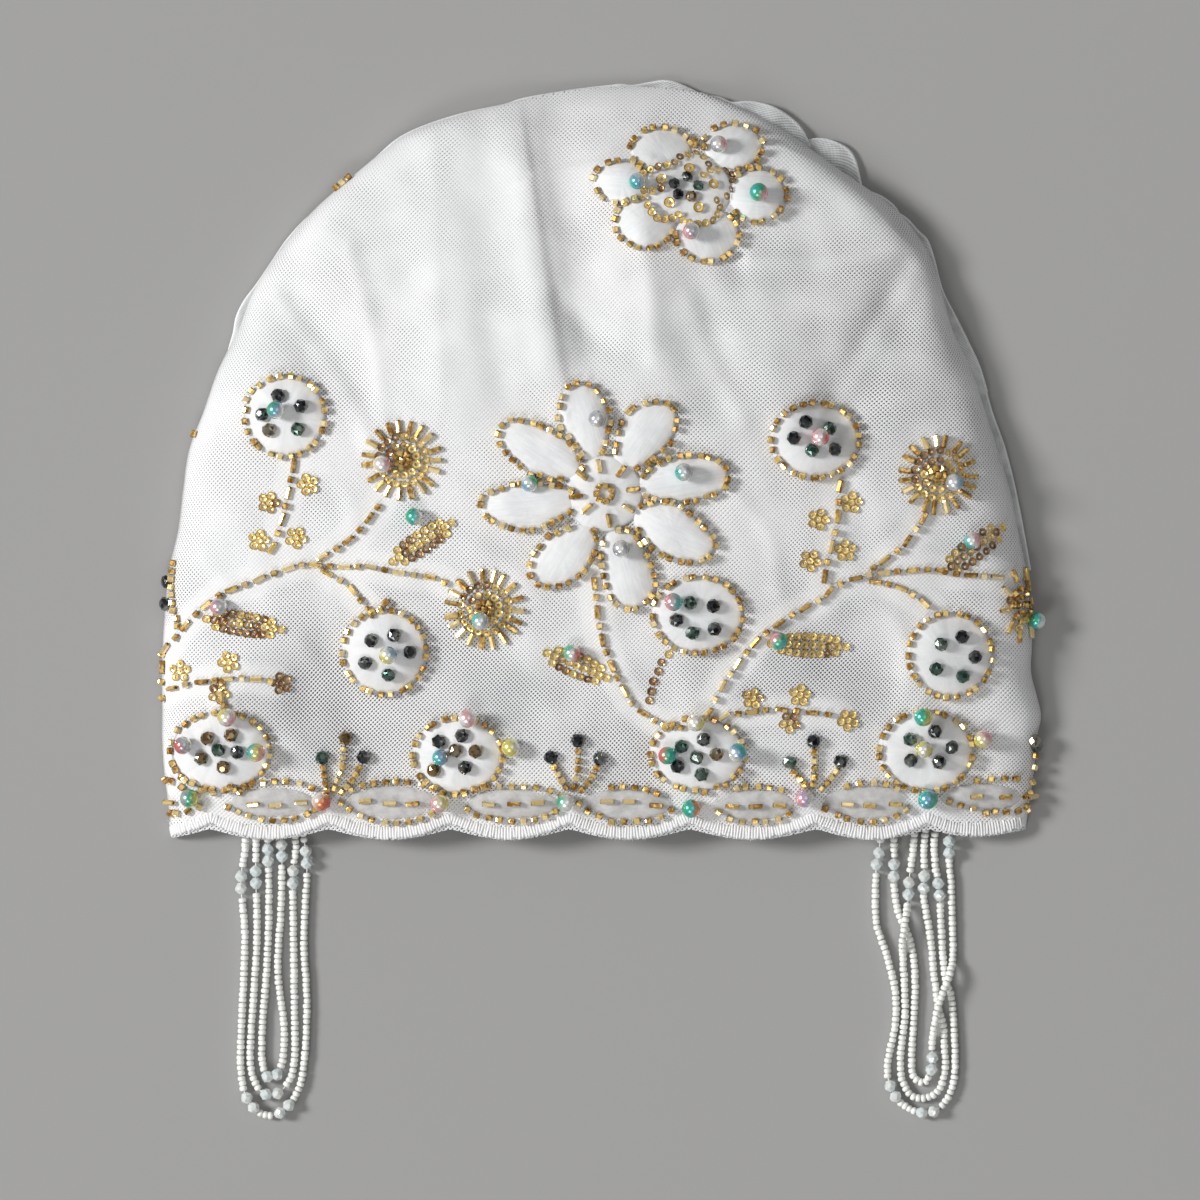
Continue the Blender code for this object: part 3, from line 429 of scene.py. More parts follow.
# radius and height round a dark crystal, a clear crystal and a white seed bead
DARK_CUT = ((0.42, -0.62), (0.95, -0.26), (1.0, 0.06), (0.78, 0.44), (0.40, 0.64))
CLEAR_CUT = ((0.46, -0.5), (1.0, -0.15), (1.0, 0.15), (0.46, 0.5))
SEED_SECTION = (
    (0.30, -0.38), (0.55, -0.49), (0.80, -0.42), (0.95, -0.24), (1.0, 0.0), (0.95, 0.24),
    (0.80, 0.42), (0.55, 0.49), (0.30, 0.38),
)
ROSE_CRYSTAL = 3.5 * MM

PEARL_TONES = {
    "white": (0.90, 0.90, 0.88), "green": (0.05, 0.46, 0.26), "blue": (0.22, 0.42, 0.58),
    "teal": (0.08, 0.50, 0.46), "pink": (0.84, 0.42, 0.46), "grey": (0.42, 0.44, 0.48),
    "yellow": (0.78, 0.70, 0.20), "orange": (0.82, 0.32, 0.14), "red": (0.70, 0.14, 0.12),
    "lilac": (0.58, 0.46, 0.66), "cream": (0.88, 0.78, 0.62),
}

# CAD node or "", u, v, radius in mm, tones from the left to the right, which paint the pearls' own
# colours with painted sheen; a white tone between two others is a painted highlight
PEARLS = (
    ("pearl_disc_1", 277, 411, 2.6, "green blue white"),
    ("pearl_disc_2", 389, 655, 2.6, "yellow white blue"),
    ("pearl_disc_3", 819, 438, 2.6, "pink white red"),
    ("pearl_disc_4", 673, 602, 2.6, "pink grey teal"),
    ("pearl_disc_6_top", 228, 717, 2.7, "yellow white pink"),
    ("pearl_disc_6_left", 184, 745, 2.6, "red grey white"),
    ("pearl_disc_6_right", 257, 752, 2.7, "teal yellow pink"),
    ("pearl_disc_7_top", 468, 718, 2.7, "white pink white"),
    ("pearl_disc_7_right", 511, 747, 2.7, "yellow yellow white"),
    ("pearl_disc_8_top", 695, 722, 2.6, "cream white yellow"),
    ("pearl_disc_8_right", 737, 752, 2.7, "white blue teal"),
    ("pearl_disc_9_top", 922, 717, 2.6, "teal green yellow"),
    ("pearl_disc_9_right", 982, 739, 2.7, "yellow cream pink"),
    ("pearl_hem_1", 190, 798, 2.7, "grey green yellow"),
    ("pearl_hem_2", 322, 801, 2.8, "white orange red"),
    ("pearl_hem_3", 440, 803, 2.7, "pink cream yellow"),
    ("pearl_hem_4", 566, 802, 2.7, "green white white"),
    ("pearl_hem_5", 691, 808, 2.7, "green teal orange"),
    ("pearl_hem_6", 804, 798, 2.7, "pink lilac white"),
    ("pearl_hem_7", 927, 799, 2.9, "teal blue green"),
    ("", 383, 465, 2.6, "cream white pink"), ("", 481, 621, 2.6, "teal white grey"),
    ("", 953, 483, 2.6, "grey white blue"), ("", 1030, 621, 2.5, "green teal white"),
    ("", 415, 517, 2.5, "green teal white"), ("", 220, 607, 2.5, "pink grey white"),
    ("", 572, 653, 2.5, "green white red"), ("", 971, 541, 2.5, "teal white pink"),
    ("", 778, 641, 2.6, "pink green teal"), ("", 597, 420, 2.5, "grey white grey"),
    ("", 683, 473, 2.6, "teal white grey"), ("", 530, 484, 2.5, "blue white green"),
    ("", 621, 549, 2.5, "grey white grey"), ("", 718, 146, 2.5, "grey white pink"),
    ("", 758, 194, 2.7, "teal green pink"), ("", 691, 233, 2.5, "pink grey white"),
    ("", 637, 184, 2.4, "teal blue white"), ("", 441, 757, 2.4, "teal blue grey"),
    ("", 667, 755, 2.6, "red green teal"), ("", 923, 749, 2.5, "yellow white yellow"),
)

# Pearls without a node that lie on a whole sunburst, and the lifts of those and the others
SUNBURST_PEARLS = (20, 21, 22)
SUNBURST_LIFT = 2.0
PEARL_LIFT = 0.3

# The strings' heights: over the hem's edge, over the floor, and where they swell to crystals
HEM_STEP_V = 846
HEM_SLOPE = 4 * MM
HEM_GAP = 0.3 * MM
FLOOR_CLEAR = 0.2 * MM
SWELL = 0.75
SWELL_REACH = (2.2 * MM, 4.6 * MM)
# A pair of clear crystals: from its middle to each, kept free of beads, and a crystal's length
PAIR_SHIFT = 1.75 * MM
PAIR_CLEAR = 4.1 * MM
CLEAR_LENGTH = 3.3 * MM
BEAD_SWAY = 0.08 * MM
THREAD_RADIUS = 0.18 * MM
THREAD_SIDES = 5
THREAD_STEP = 2 * MM
# Strings of beads: u and v from one sewn end to the other, with lift over another string in mm
STRINGS = (
    ("loop_left_outer", (
        (246, 822), (245, 850), (241, 883), (245, 940), (241, 1040), (242, 1080), (250, 1103),
        (266, 1115), (284, 1110), (299, 1088), (305, 1055), (307, 1000), (304, 940), (307, 870),
        (304, 838), (302, 822))),
    ("loop_left_middle", (
        (257, 822), (256, 850), (256, 878), (257, 940), (251, 1035), (251, 1068), (259, 1089),
        (271, 1095), (283, 1089), (293, 1070), (295, 1035), (294, 970), (293, 878), (296, 845),
        (292, 822))),
    ("loop_left_inner", (
        (268, 822), (268, 855), (269, 905), (267, 965), (262, 1035), (263, 1066), (268, 1077),
        (276, 1076), (283, 1058), (284, 1025), (278, 970), (281, 910), (282, 855), (281, 822))),
    ("loop_right_outer", (
        (881, 822), (879, 852), (876, 870), (876, 920), (886, 953), (895, 990), (895, 1025),
        (888, 1060), (889, 1082), (900, 1102), (919, 1112), (936, 1110), (950, 1093),
        (955, 1066), (953, 1015), (951, 995), (946, 982), (943, 960), (941, 925), (939, 890),
        (935, 864), (934, 842), (937, 822))),
    ("loop_right_middle", (
        (915, 822), (913, 850), (909, 880), (908, 900), (906, 913, 2.3), (904, 929, 2.8),
        (902, 945, 2.3), (903, 962), (905, 1010), (901, 1050), (901, 1076), (909, 1093),
        (921, 1098), (937, 1092), (945, 1070), (944, 1040), (943, 1024), (938, 1006), (934, 975),
        (930, 935), (924, 900), (924, 872), (924, 845), (926, 822))),
    ("loop_right_inner", (
        (894, 822), (894, 860), (894, 885), (898, 912), (907, 932), (913, 955), (915, 990),
        (912, 1050), (912, 1072), (918, 1081), (926, 1081), (932, 1066), (932, 1045),
        (934, 1026, 2.2), (938, 1006, 2.8), (945, 986, 2.8), (950, 972, 2.4), (953, 955),
        (952, 915), (951, 885), (949, 858), (949, 838), (950, 822))),
)
# string name, then u and v of the middle of each pair of clear crystals
STRING_CRYSTALS = {
    "loop_left_outer": ((241, 883), (307, 857), (250, 1103), (285, 1109)),
    "loop_left_middle": ((256, 876), (293, 877), (272, 1095)),
    "loop_left_inner": ((268, 856), (282, 852), (273, 1079)),
    "loop_right_outer": ((878, 858), (939, 890), (892, 1090), (927, 1112)),
    "loop_right_middle": ((909, 889), (924, 882)),
    "loop_right_inner": ((894, 872), (949, 847), (932, 1066)),
}


# Pads: places round and rings, height of the rim and of the underside over the net
PAD_SIDES = 72
PAD_RINGS = 12
PAD_STAND = 0.25 * MM
PAD_UNDER = 0.05 * MM
PUCKER = 0.26 * MM
DISC_DROP = 0.9
OVAL_HEIGHT = 1.3 * MM
PETAL_HEIGHT = 1.9 * MM

# Gold beads: pitch of sprigs and of the daisy's middle, share of it round ovals, and the
# gaps along a stem in mm
SPRIG_PITCH = 2.1 * MM
CENTRE_PITCH = 2.05 * MM
OVAL_PITCH_SHARE = 1.12
STEM_GAP = (0.8, 1.8)

# name, place, size and power of each round soft light
LIGHTS = (
    ("key", (-5.36, 1.07, 3.96), 1.8, 405.0), ("low_key", (-1.5, -3.0, 3.6), 1.8, 52.0),
    ("fill", (0.9, 0.4, 3.0), 2.0, 8.5),
)
FLOOR_HALF = 3.0
PHOTO_SIZE = 1200
CAMERA_HEIGHT = 5.0
SENSOR_WIDTH = 36.0


def size_setting(name, description, default):
    return FloatProperty(
        name=name, description=description, default=default, min=0.0, unit="LENGTH", precision=5)


def colour_setting(name, description, default):
    return FloatVectorProperty(
        name=name, description=description, default=default, min=0.0, max=1.0, size=3,
        subtype="COLOR")


class TurbanSizes(bpy.types.PropertyGroup):
    """Sizes of the net and of what is sewn to it."""
    net_pitch: size_setting("Net pitch", "Distance between two holes of the net", 0.90 * MM)
    hem_width: size_setting("Hem width", "Width of the stitched edge", 4.3 * MM)
    stitch_pitch: size_setting("Stitch pitch", "Distance between stitches of the hem", 0.84 * MM)
    bead: size_setting("Bead", "Diameter and length of a gold bead", 1.95 * MM)
    bead_pitch: size_setting("Bead pitch", "Distance between beads of an outline", 2.95 * MM)
    tube_length: size_setting("Tube length", "Length of a gold tube bead", 3.9 * MM)
    tube: size_setting("Tube", "Diameter of a gold tube bead", 1.6 * MM)
    sequin: size_setting("Sequin", "Diameter of a sequin", 2.45 * MM)
    crystal: size_setting("Crystal", "Diameter of a dark crystal", 4.3 * MM)
    seed_bead: size_setting("Seed bead", "Diameter of a white seed bead", 2.35 * MM)
    seed_pitch: size_setting("Seed pitch", "Distance between beads on a string", 1.52 * MM)
    clear_crystal: size_setting("Clear crystal", "Diameter of a clear crystal", 3.6 * MM)


class TurbanColours(bpy.types.PropertyGroup):
    """Colours of the finishes."""
    net: colour_setting("Net", "Thread of the net", (0.84, 0.84, 0.84))
    hole: colour_setting("Holes", "Shade in the holes of the net", (0.055, 0.055, 0.06))
    hem: colour_setting("Hem", "Thread of the stitched edge", (0.94, 0.94, 0.94))
    padding: colour_setting("Padding", "Fibres of the pads", (0.83, 0.835, 0.84))
    gold: colour_setting("Gold", "Gold lining of the beads", (0.98, 0.72, 0.27))
    amber: colour_setting("Amber", "Dark side of the gold beads", (0.38, 0.18, 0.03))
    sequin: colour_setting("Sequin", "Gold foil of the sequins", (0.98, 0.68, 0.20))
    dark_crystal: colour_setting(
        "Dark crystal", "Glass of the dark crystals", (0.022, 0.024, 0.028))
    seed_bead: colour_setting("Seed bead", "Opaque white glass", (0.91, 0.91, 0.88))
    floor: colour_setting("Floor", "Plain floor", (0.354, 0.349, 0.344))


def to_x(u):
    return (u - CENTRE_U) * STEP


def to_y(v):
    return (CENTRE_V - v) * STEP


def to_u(x):
    return x / STEP + CENTRE_U


def read_table(rows, column, at):
    """Smooth values of one column of a table, at values of its first column."""
    table = np.array(rows, dtype=float)
    places, values = table[:, 0], table[:, column]
    at = np.clip(at, places[0], places[-1])
    low = np.clip(np.searchsorted(places, at, side="right"), 1, len(places) - 1) - 1
    after = np.minimum(np.arange(len(places)) + 1, len(places) - 1)
    before = np.maximum(np.arange(len(places)) - 1, 0)
    slopes = (values[after] - values[before]) / (places[after] - places[before])
    span = places[low + 1] - places[low]
    share = (at - places[low]) / span
    rise = values[low + 1] - values[low]
    start, end = slopes[low] * span, slopes[low + 1] * span
    bend = (3 * rise - 2 * start - end) * share ** 2
    return values[low] + start * share + bend + (start + end - 2 * rise) * share ** 3


def smoothstep(low, high, at):
    share = np.clip((at - low) / (high - low), 0.0, 1.0)
    return share * share * (3 - 2 * share)


def place_rows(rows):
    """Metres for rows that begin with u and v; a third number is a lift in mm."""
    rows = np.array(rows, dtype=float)
    placed = rows * MM
    placed[:, 0] = to_x(rows[:, 0])
    placed[:, 1] = to_y(rows[:, 1])
    return placed


def smooth_route(rows, closed=False, parts=10):
    """Finely spaced points on a smooth curve through rows of u and v, or of u, v and lift."""
    rows = place_rows(rows)
    count = len(rows)
    spans = count if closed else count - 1
    route = []
    for k in range(spans):
        near = range(k - 1, k + 3)
        before, start, end, after = (
            rows[j % count if closed else min(max(j, 0), count - 1)] for j in near)
        for part in range(parts):
            t = part / parts
            route.append(0.5 * (
                2 * start + (end - before) * t
                + (2 * before - 5 * start + 4 * end - after) * t ** 2
                + (3 * start - before - 3 * end + after) * t ** 3))
    route.append(rows[0] if closed else rows[-1])
    return np.array(route)


def run_lengths(route):
    """Distance along a route of each of its points."""
    steps = np.linalg.norm(np.diff(route, axis=0), axis=1)
    return np.concatenate([[0.0], np.cumsum(steps)])


def along_route(route, distances):
    """Points on a route at distances along it, and its direction there."""
    lengths = run_lengths(route)

    def points_at(places):
        return np.stack([np.interp(places, lengths, column) for column in route.T], 1)

    reach = 0.4 * MM
    return points_at(distances), points_at(distances + reach) - points_at(distances - reach)


def route_length(route):
    return float(np.linalg.norm(np.diff(route, axis=0), axis=1).sum())


def fold_rise(x, y):
    """Height that the broad folds and dents add to the front at places."""
    total = np.zeros_like(x)
    for u1, v1, u2, v2, half_width, rise in FOLDS:
        ax, ay = to_x(u1), to_y(v1)
        bx, by = to_x(u2) - ax, to_y(v2) - ay
        along = np.clip(((x - ax) * bx + (y - ay) * by) / (bx * bx + by * by), 0.0, 1.0)
        away = np.hypot(x - ax - along * bx, y - ay - along * by)
        total += rise * MM * np.exp(-(away / (half_width * MM)) ** 2)
    return total


def crease_rise(x, y):
    """Height in mm that the creases add, each side of a line with its own width."""
    total = np.zeros_like(x)
    for first_width, second_width, rise, *line in CREASES:
        line = smooth_route(line, parts=3)
        nearest = np.full_like(x, 1.0)
        aside = np.zeros_like(x)
        for (ax, ay), (cx, cy) in zip(line, line[1:]):
            bx, by = cx - ax, cy - ay
            length = math.hypot(bx, by)
            along = np.clip(((x - ax) * bx + (y - ay) * by) / length ** 2, 0.0, 1.0)
            away = np.hypot(x - ax - along * bx, y - ay - along * by)
            closer = away < nearest
            nearest = np.where(closer, away, nearest)
            aside = np.where(closer, (y - ay) * bx - (x - ax) * by, aside)
        width = np.where(aside > 0, second_width, first_width) * MM
        total += CREASE_SHARE * rise * np.exp(-(nearest / width) ** 2)
    return total


def ripples(x, y):
    """Small uneven waves of slack net, in mm."""
    chance = random.Random(7)
    total = np.zeros_like(x)
    for _ in range(RIPPLE_COUNT):
        turn = chance.uniform(0.0, math.pi)
        length = chance.uniform(9.0, 34.0) * MM
        phase = chance.uniform(0.0, 2 * math.pi)
        wave = np.sin((x * math.cos(turn) + y * math.sin(turn)) * 2 * math.pi / length + phase)
        total += wave * RIPPLE_SLOPE * length / MM
    return total


def sides(v):
    return to_x(read_table(OUTLINE, 1, v)), to_x(read_table(OUTLINE, 2, v))


def front_height(across, v):
    """Height of the front, at -1 to 1 across the cap."""
    left, right = sides(v)
    x = (left + right) / 2 + across * (right - left) / 2
    y = to_y(v)
    up = (HEM_V - v) / (HEM_V - TOP_V)
    inside = np.clip(up, 0.0, 1.0)
    edge = np.sqrt(1 - np.minimum(np.abs(across), 1.0) ** EDGE_POWER)
    end = np.sqrt(1 - inside ** TOP_POWER)
    rise = read_table(RISE, 1, inside) * MM * edge * end
    dome = read_table(RISE, 2, inside) * MM * np.maximum(1 - across ** 2, 0.0) ** DOME_POWER
    near_hem = np.clip(up / HEM_SHARE, 0.0, 1.0)
    folds = fold_rise(x, y) * edge * end * near_hem
    height = NET_WALL + np.maximum(rise + dome + folds, 0.0)
    small = crease_rise(x, y) + ripples(x, y) * (0.35 + 0.65 * near_hem)
    height = height + small * MM * np.minimum(edge * 1.1, 1.0) * end
    return np.maximum(height, NET_WALL)


def scallop(u, valley, bottom):
    """v of a scalloped line at a u, between its v in the valleys and at the bottoms."""
    valleys = np.array(VALLEYS, dtype=float)
    k = np.clip(np.searchsorted(valleys, u, side="right"), 1, len(valleys) - 1)
    share = np.clip((u - valleys[k - 1]) / (valleys[k] - valleys[k - 1]), 0.0, 1.0)
    soft = np.hypot(np.sin(math.pi * share), CUSP) - CUSP
    bulge = soft / (math.hypot(1.0, CUSP) - CUSP)
    return valley + (bottom - valley) * bulge ** SCALLOP_POWER


def drawn_up(u):
    """How much higher the hem lies towards its right corner."""
    return RIGHT_CORNER_RISE * smoothstep(940, 1010, u)


def spread(count):
    """Shares from 1 to -1 across the cap, closer together towards the side folds."""
    k = np.arange(count) / (count - 1)
    return 0.62 * (1 - 2 * k) + 0.38 * np.cos(math.pi * k)


# Materials

class Value:
    """One output in a recipe, which Python's own arithmetic carries on from."""

    def __init__(self, recipe, socket):
        self.recipe = recipe
        self.socket = socket

    def maths(self, operation, *others):
        made = self.recipe.node("ShaderNodeMath", {"operation": operation},
                                dict(enumerate((self,) + others)))
        return made["Value"]

    def __add__(self, other):
        return self.maths("ADD", other)

    def __sub__(self, other):
        return self.maths("SUBTRACT", other)

    def __rsub__(self, other):
        return self.recipe.constant(other).maths("SUBTRACT", self)

    def __mul__(self, other):
        return self.maths("MULTIPLY", other)

    __radd__ = __add__
    __rmul__ = __mul__

    def cosine(self):
        return self.maths("COSINE")

    def step(self, low, high):
        """Smooth climb from 0 at low to 1 at high."""
        made = self.recipe.node("ShaderNodeMapRange", {"interpolation_type": "SMOOTHSTEP"},
                                {"Value": self, "From Min": low, "From Max": high})
        return made["Result"]


class Recipe:
    """The nodes of one material, or of the world."""

    def __init__(self, name, world=None):
        self.made = world or bpy.data.materials.new(name)
        self.made.use_nodes = True
        self.tree = self.made.node_tree
        self.tree.nodes.clear()

    def node(self, kind, settings=None, sockets=None):
        """Add a node, set it first, then feed its sockets. Returns its outputs."""
        made = self.tree.nodes.new(kind)
        for name, setting in (settings or {}).items():
            setattr(made, name, setting)
        for name, given in (sockets or {}).items():
            if isinstance(name, int):
                socket = made.inputs[name]
            else:
                socket = next(s for s in made.inputs if s.name == name and s.enabled)
            if isinstance(given, Value):
                self.tree.links.new(given.socket, socket)
            elif isinstance(given, tuple) and len(given) == 3 and socket.type == "RGBA":
                socket.default_value = given + (1.0,)
            else:
                socket.default_value = given
        return {s.name: Value(self, s) for s in made.outputs if s.enabled}

    def constant(self, number):
        """A number as the first value of a sum."""
        made = self.node("ShaderNodeMath", {"operation": "ADD"}, {0: number, 1: 0.0})
        return made["Value"]

    def mix(self, share, first, second):
        made = self.node("ShaderNodeMix", {"data_type": "RGBA"},
                         {"Factor": share, "A": first, "B": second})
        return made["Result"]

    def place(self):
        return self.node("ShaderNodeTexCoord")["Object"]

    def noise(self, scale, place=None, detail=2.0, roughness=0.5):
        made = self.node("ShaderNodeTexNoise", {}, {
            "Vector": place or self.place(), "Scale": scale, "Detail": detail,
            "Roughness": roughness})
        return made["Fac"]

    def attribute(self, name, output="Fac"):
        return self.node("ShaderNodeAttribute", {"attribute_name": name})[output]

    def bump(self, height, distance, strength=1.0):
        made = self.node("ShaderNodeBump", {}, {
            "Height": height, "Distance": distance, "Strength": strength})
        return made["Normal"]

    def surface(self, sockets):
        """Finish with one principled shader."""
        shader = self.node("ShaderNodeBsdfPrincipled", {}, sockets)["BSDF"]
        self.node("ShaderNodeOutputMaterial", {}, {"Surface": shader})
        return self.made


def colour(name):
    """A colour of the settings, ready for a socket."""
    return tuple(getattr(bpy.context.scene.turban_colours, name))


def sizes():
    return bpy.context.scene.turban_sizes


def net_pattern(recipe, flat_width, flat_height):
    """The net's slanting rows of small eyes.

    Gives the holes, from 0 on the threads to 1, with the weave, its openness and its rows.
    """
    pitch = sizes().net_pitch
    flat = recipe.node("ShaderNodeUVMap", {"uv_map": "knit"})["UV"]
    parts = recipe.node("ShaderNodeSeparateXYZ", {}, {"Vector": flat})
    drift = recipe.noise(15.0, detail=1.0) - 0.5
    across = parts["X"] * (flat_width / pitch) + drift * 7.0
    up = parts["Y"] * (flat_height / pitch) - drift * 5.0
    turn = math.radians(NET_SLANT)
    rows = (up * math.cos(turn) - across * math.sin(turn)) * (2 * math.pi * ROWS_TO_PITCH)
    eyes = (up * math.sin(turn) + across * math.cos(turn)) * (2 * math.pi * EYES_TO_PITCH)
    patches = recipe.noise(60.0, detail=1.0).step(0.35, 0.65)
    weave = rows.cosine() * 0.58 + eyes.cosine() * (0.34 + patches * 0.14)
    openness = recipe.attribute("openness") + (patches - 0.5) * 0.14
    threshold = 0.98 - openness * 0.95
    between = 0.5 + rows.cosine() * 0.5
    return ((weave - threshold) * EYE_SHARPNESS).step(0.0, 1.0), weave, openness, between


def net_material():
    recipe = Recipe("stretch_net")
    hole, weave, openness, between = net_pattern(recipe, CLOTH_WIDTH, CLOTH_HEIGHT)
    tone = recipe.noise(24.0, detail=2.0).step(0.3, 0.7)
    thread = recipe.mix(tone, colour("net"), (0.80, 0.805, 0.81))
    # Painted shade: the threads are painted darker between the rows of the knit.
    lines = recipe.mix(between * 0.20, thread, (0.56, 0.565, 0.57))
    # Painted shade: the threads are painted greyer where the net is more open.
    shaded = recipe.mix(openness.step(0.35, 0.90) * 0.14, lines, (0.56, 0.565, 0.575))
    return recipe.surface({
        # The holes are painted nearly black, as painted shade of the inside seen through them, and
        # let only a little light through.
        "Base Color": recipe.mix(hole * 0.95, shaded, colour("hole")),
        "Roughness": 0.85, "Specular IOR Level": 0.25, "Sheen Weight": 0.15,
        "Alpha": 1.0 - hole * 0.25,
        "Normal": recipe.bump(weave, 0.12 * MM, 0.5)})


def loose_net_material():
    recipe = Recipe("loose_net")
    hole, weave, _, between = net_pattern(recipe, LOOSE_WIDTH, LOOSE_HEIGHT)
    rolled = recipe.attribute("rolled")
    folds = recipe.noise(150.0, detail=2.0).step(0.35, 0.7)
    body = 0.46 - between * 0.16 + folds * 0.20
    return recipe.surface({
        "Base Color": recipe.mix(rolled, (0.86, 0.87, 0.88), (0.95, 0.96, 0.96)),
        "Roughness": 0.85, "Specular IOR Level": 0.25,
        "Alpha": (body * (1.0 - rolled) + rolled * 0.85 - hole * 0.12).step(0.0, 1.0),
        "Normal": recipe.bump(weave, 0.1 * MM, 0.4)})


def hem_material():
    recipe = Recipe("hem_thread")
    grain = recipe.noise(1500.0, detail=2.0)
    soil = recipe.noise(60.0).step(0.3, 0.8)
    thread = recipe.mix(soil * 0.5, colour("hem"), (0.82, 0.82, 0.82))
    # Painted shade in the grooves between stitches and in the band's hollows.
    groove = recipe.attribute("groove")
    return recipe.surface({
        "Base Color": recipe.mix(groove * 0.50, thread, (0.36, 0.36, 0.37)),
        "Roughness": 0.62, "Sheen Weight": 0.2,
        "Normal": recipe.bump(grain, 0.1 * MM, 0.5)})


def padding_material():
    """Fine white fibres that run out from the middle of a pad."""
    recipe = Recipe("pad_fibre")
    fibres = recipe.noise(1.0, recipe.attribute("fibre", "Vector"), detail=5.0, roughness=0.65)
    tufts = recipe.noise(240.0, detail=3.0)
    clumps = recipe.noise(110.0, detail=4.0, roughness=0.6).step(0.35, 0.65)
    strands = fibres.step(0.30, 0.60) * 0.5 + clumps * 0.5
    white = recipe.mix(strands, (0.70, 0.71, 0.72), colour("padding"))
    thin, rim = recipe.attribute("thin"), recipe.attribute("rim")
    see_through = thin.step(0.3, 0.8)
    tone = recipe.mix(thin, white, (0.70, 0.69, 0.68))
    wisps = tufts.step(0.30, 0.75) * 0.4 + rim * 0.5
    return recipe.surface({
        "Base Color": recipe.mix(rim * 0.25, tone, (0.76, 0.765, 0.77)),
        "Roughness": 0.75, "Specular IOR Level": 0.3, "Sheen Weight": 0.3,
        "Subsurface Weight": 0.15, "Subsurface Radius": (0.002, 0.002, 0.002),
        "Alpha": 1.0 - (see_through * 0.2 + see_through * wisps),
        "Normal": recipe.bump(fibres * 0.4 + tufts * 0.5, 0.35 * MM, 0.5)})


def gold_material():
    """Silver-lined gold glass: gold to amber brown from bead to bead, with painted reflections in
    streaks, painted pale highlights on some beads and painted shade at their ends.
    """
    recipe = Recipe("gold_glass")
    tint = recipe.attribute("tint")
    # Painted reflection: light and dark streaks within each bead, over each bead's own gold to
    # amber tint.
    reflection_streak = recipe.noise(800.0, detail=1.0).step(0.42, 0.62)
    amber_and_reflection = (tint * 0.60 + reflection_streak * 0.50).step(0.25, 0.95)
    warm = recipe.mix(amber_and_reflection, colour("gold"), colour("amber"))
    # Painted highlight: beads with a low tint are painted pale all over.
    pale_highlight = recipe.mix((1.0 - tint).step(0.62, 1.0) * 0.6, warm, (1.0, 0.88, 0.60))
    # Painted shade at the ends of each bead.
    ends = recipe.mix(recipe.attribute("edge") * 0.75, pale_highlight, (0.20, 0.085, 0.015))
    return recipe.surface({
        "Base Color": ends, "Metallic": 0.62, "Roughness": 0.18 + reflection_streak * 0.10,
        "Coat Weight": 0.8, "Coat Roughness": 0.06})


def sequin_material():
    recipe = Recipe("sequin_foil")
    tint = recipe.attribute("tint")
    rubbed = recipe.noise(420.0, detail=2.0).step(0.35, 0.7)
    # Painted dark reflection: sequins with a high tint are painted dark brown.
    dark = recipe.mix(tint.step(0.55, 0.9), colour("sequin"), (0.24, 0.10, 0.02))
    worn = recipe.mix(rubbed * 0.25, dark, (1.0, 0.84, 0.46))
    # Painted shade along each sequin's rim and round its hole, darker on the dark sequins.
    outline = recipe.attribute("edge") * (0.35 + tint * 0.6)
    return recipe.surface({
        "Base Color": recipe.mix(outline, worn, (0.16, 0.055, 0.012)),
        "Metallic": 0.55, "Roughness": 0.18 + rubbed * 0.14, "Coat Weight": 0.5,
        "Coat Roughness": 0.06})


def dark_crystal_material():
    recipe = Recipe("dark_crystal_glass")
    tint = recipe.attribute("tint")
    green = recipe.mix(tint.step(0.2, 0.5), colour("dark_crystal"), (0.050, 0.120, 0.090))
    sheen = recipe.mix(tint.step(0.6, 0.95), green, (0.24, 0.15, 0.060))
    # Painted reflection: lighter grey patches on the facets.
    film_and_reflection = recipe.noise(260.0, detail=1.0).step(0.45, 0.7)
    return recipe.surface({
        "Base Color": recipe.mix(film_and_reflection * 0.55, sheen, (0.34, 0.37, 0.34)),
        "Metallic": 0.8, "Roughness": 0.08 + film_and_reflection * 0.08, "Coat Weight": 1.0,
        "Coat Roughness": 0.03})


def clear_crystal_material():
    recipe = Recipe("clear_crystal_glass")
    # The glass is greenish with warm white patches: its own tint, with painted reflections.
    film_and_reflection = recipe.noise(210.0, detail=1.0).step(0.35, 0.7)
    tone = recipe.mix(film_and_reflection, (0.86, 0.95, 0.95), (0.98, 0.98, 0.94))
    return recipe.surface({
        "Base Color": tone, "Roughness": 0.03 + film_and_reflection * 0.05, "IOR": 1.5,
        "Transmission Weight": 0.35, "Coat Weight": 0.8, "Coat Roughness": 0.03})


def seed_bead_material():
    recipe = Recipe("white_glass")
    tint = recipe.attribute("tint")
    tone = recipe.mix(tint, colour("seed_bead"), (0.84, 0.84, 0.80))
    speck = recipe.noise(900.0, detail=1.0)
    return recipe.surface({
        "Base Color": tone, "Roughness": 0.22 + speck * 0.14, "Coat Weight": 0.3,
        "Subsurface Weight": 0.1, "Subsurface Radius": (0.001, 0.001, 0.001)})


def pearl_material():
    recipe = Recipe("iris_pearl")
    # Painted sheen: the lustre colours run across each pearl, with painted highlights where they
    # turn white.
    tone = recipe.attribute("lustre", "Color")
    cloud = recipe.noise(380.0, detail=2.0).step(0.4, 0.75)
    return recipe.surface({
        "Base Color": recipe.mix(cloud * 0.12, tone, (0.92, 0.92, 0.92)),
        "Metallic": 0.55, "Roughness": 0.25 + cloud * 0.06, "Coat Weight": 0.45,
        "Coat Roughness": 0.09})


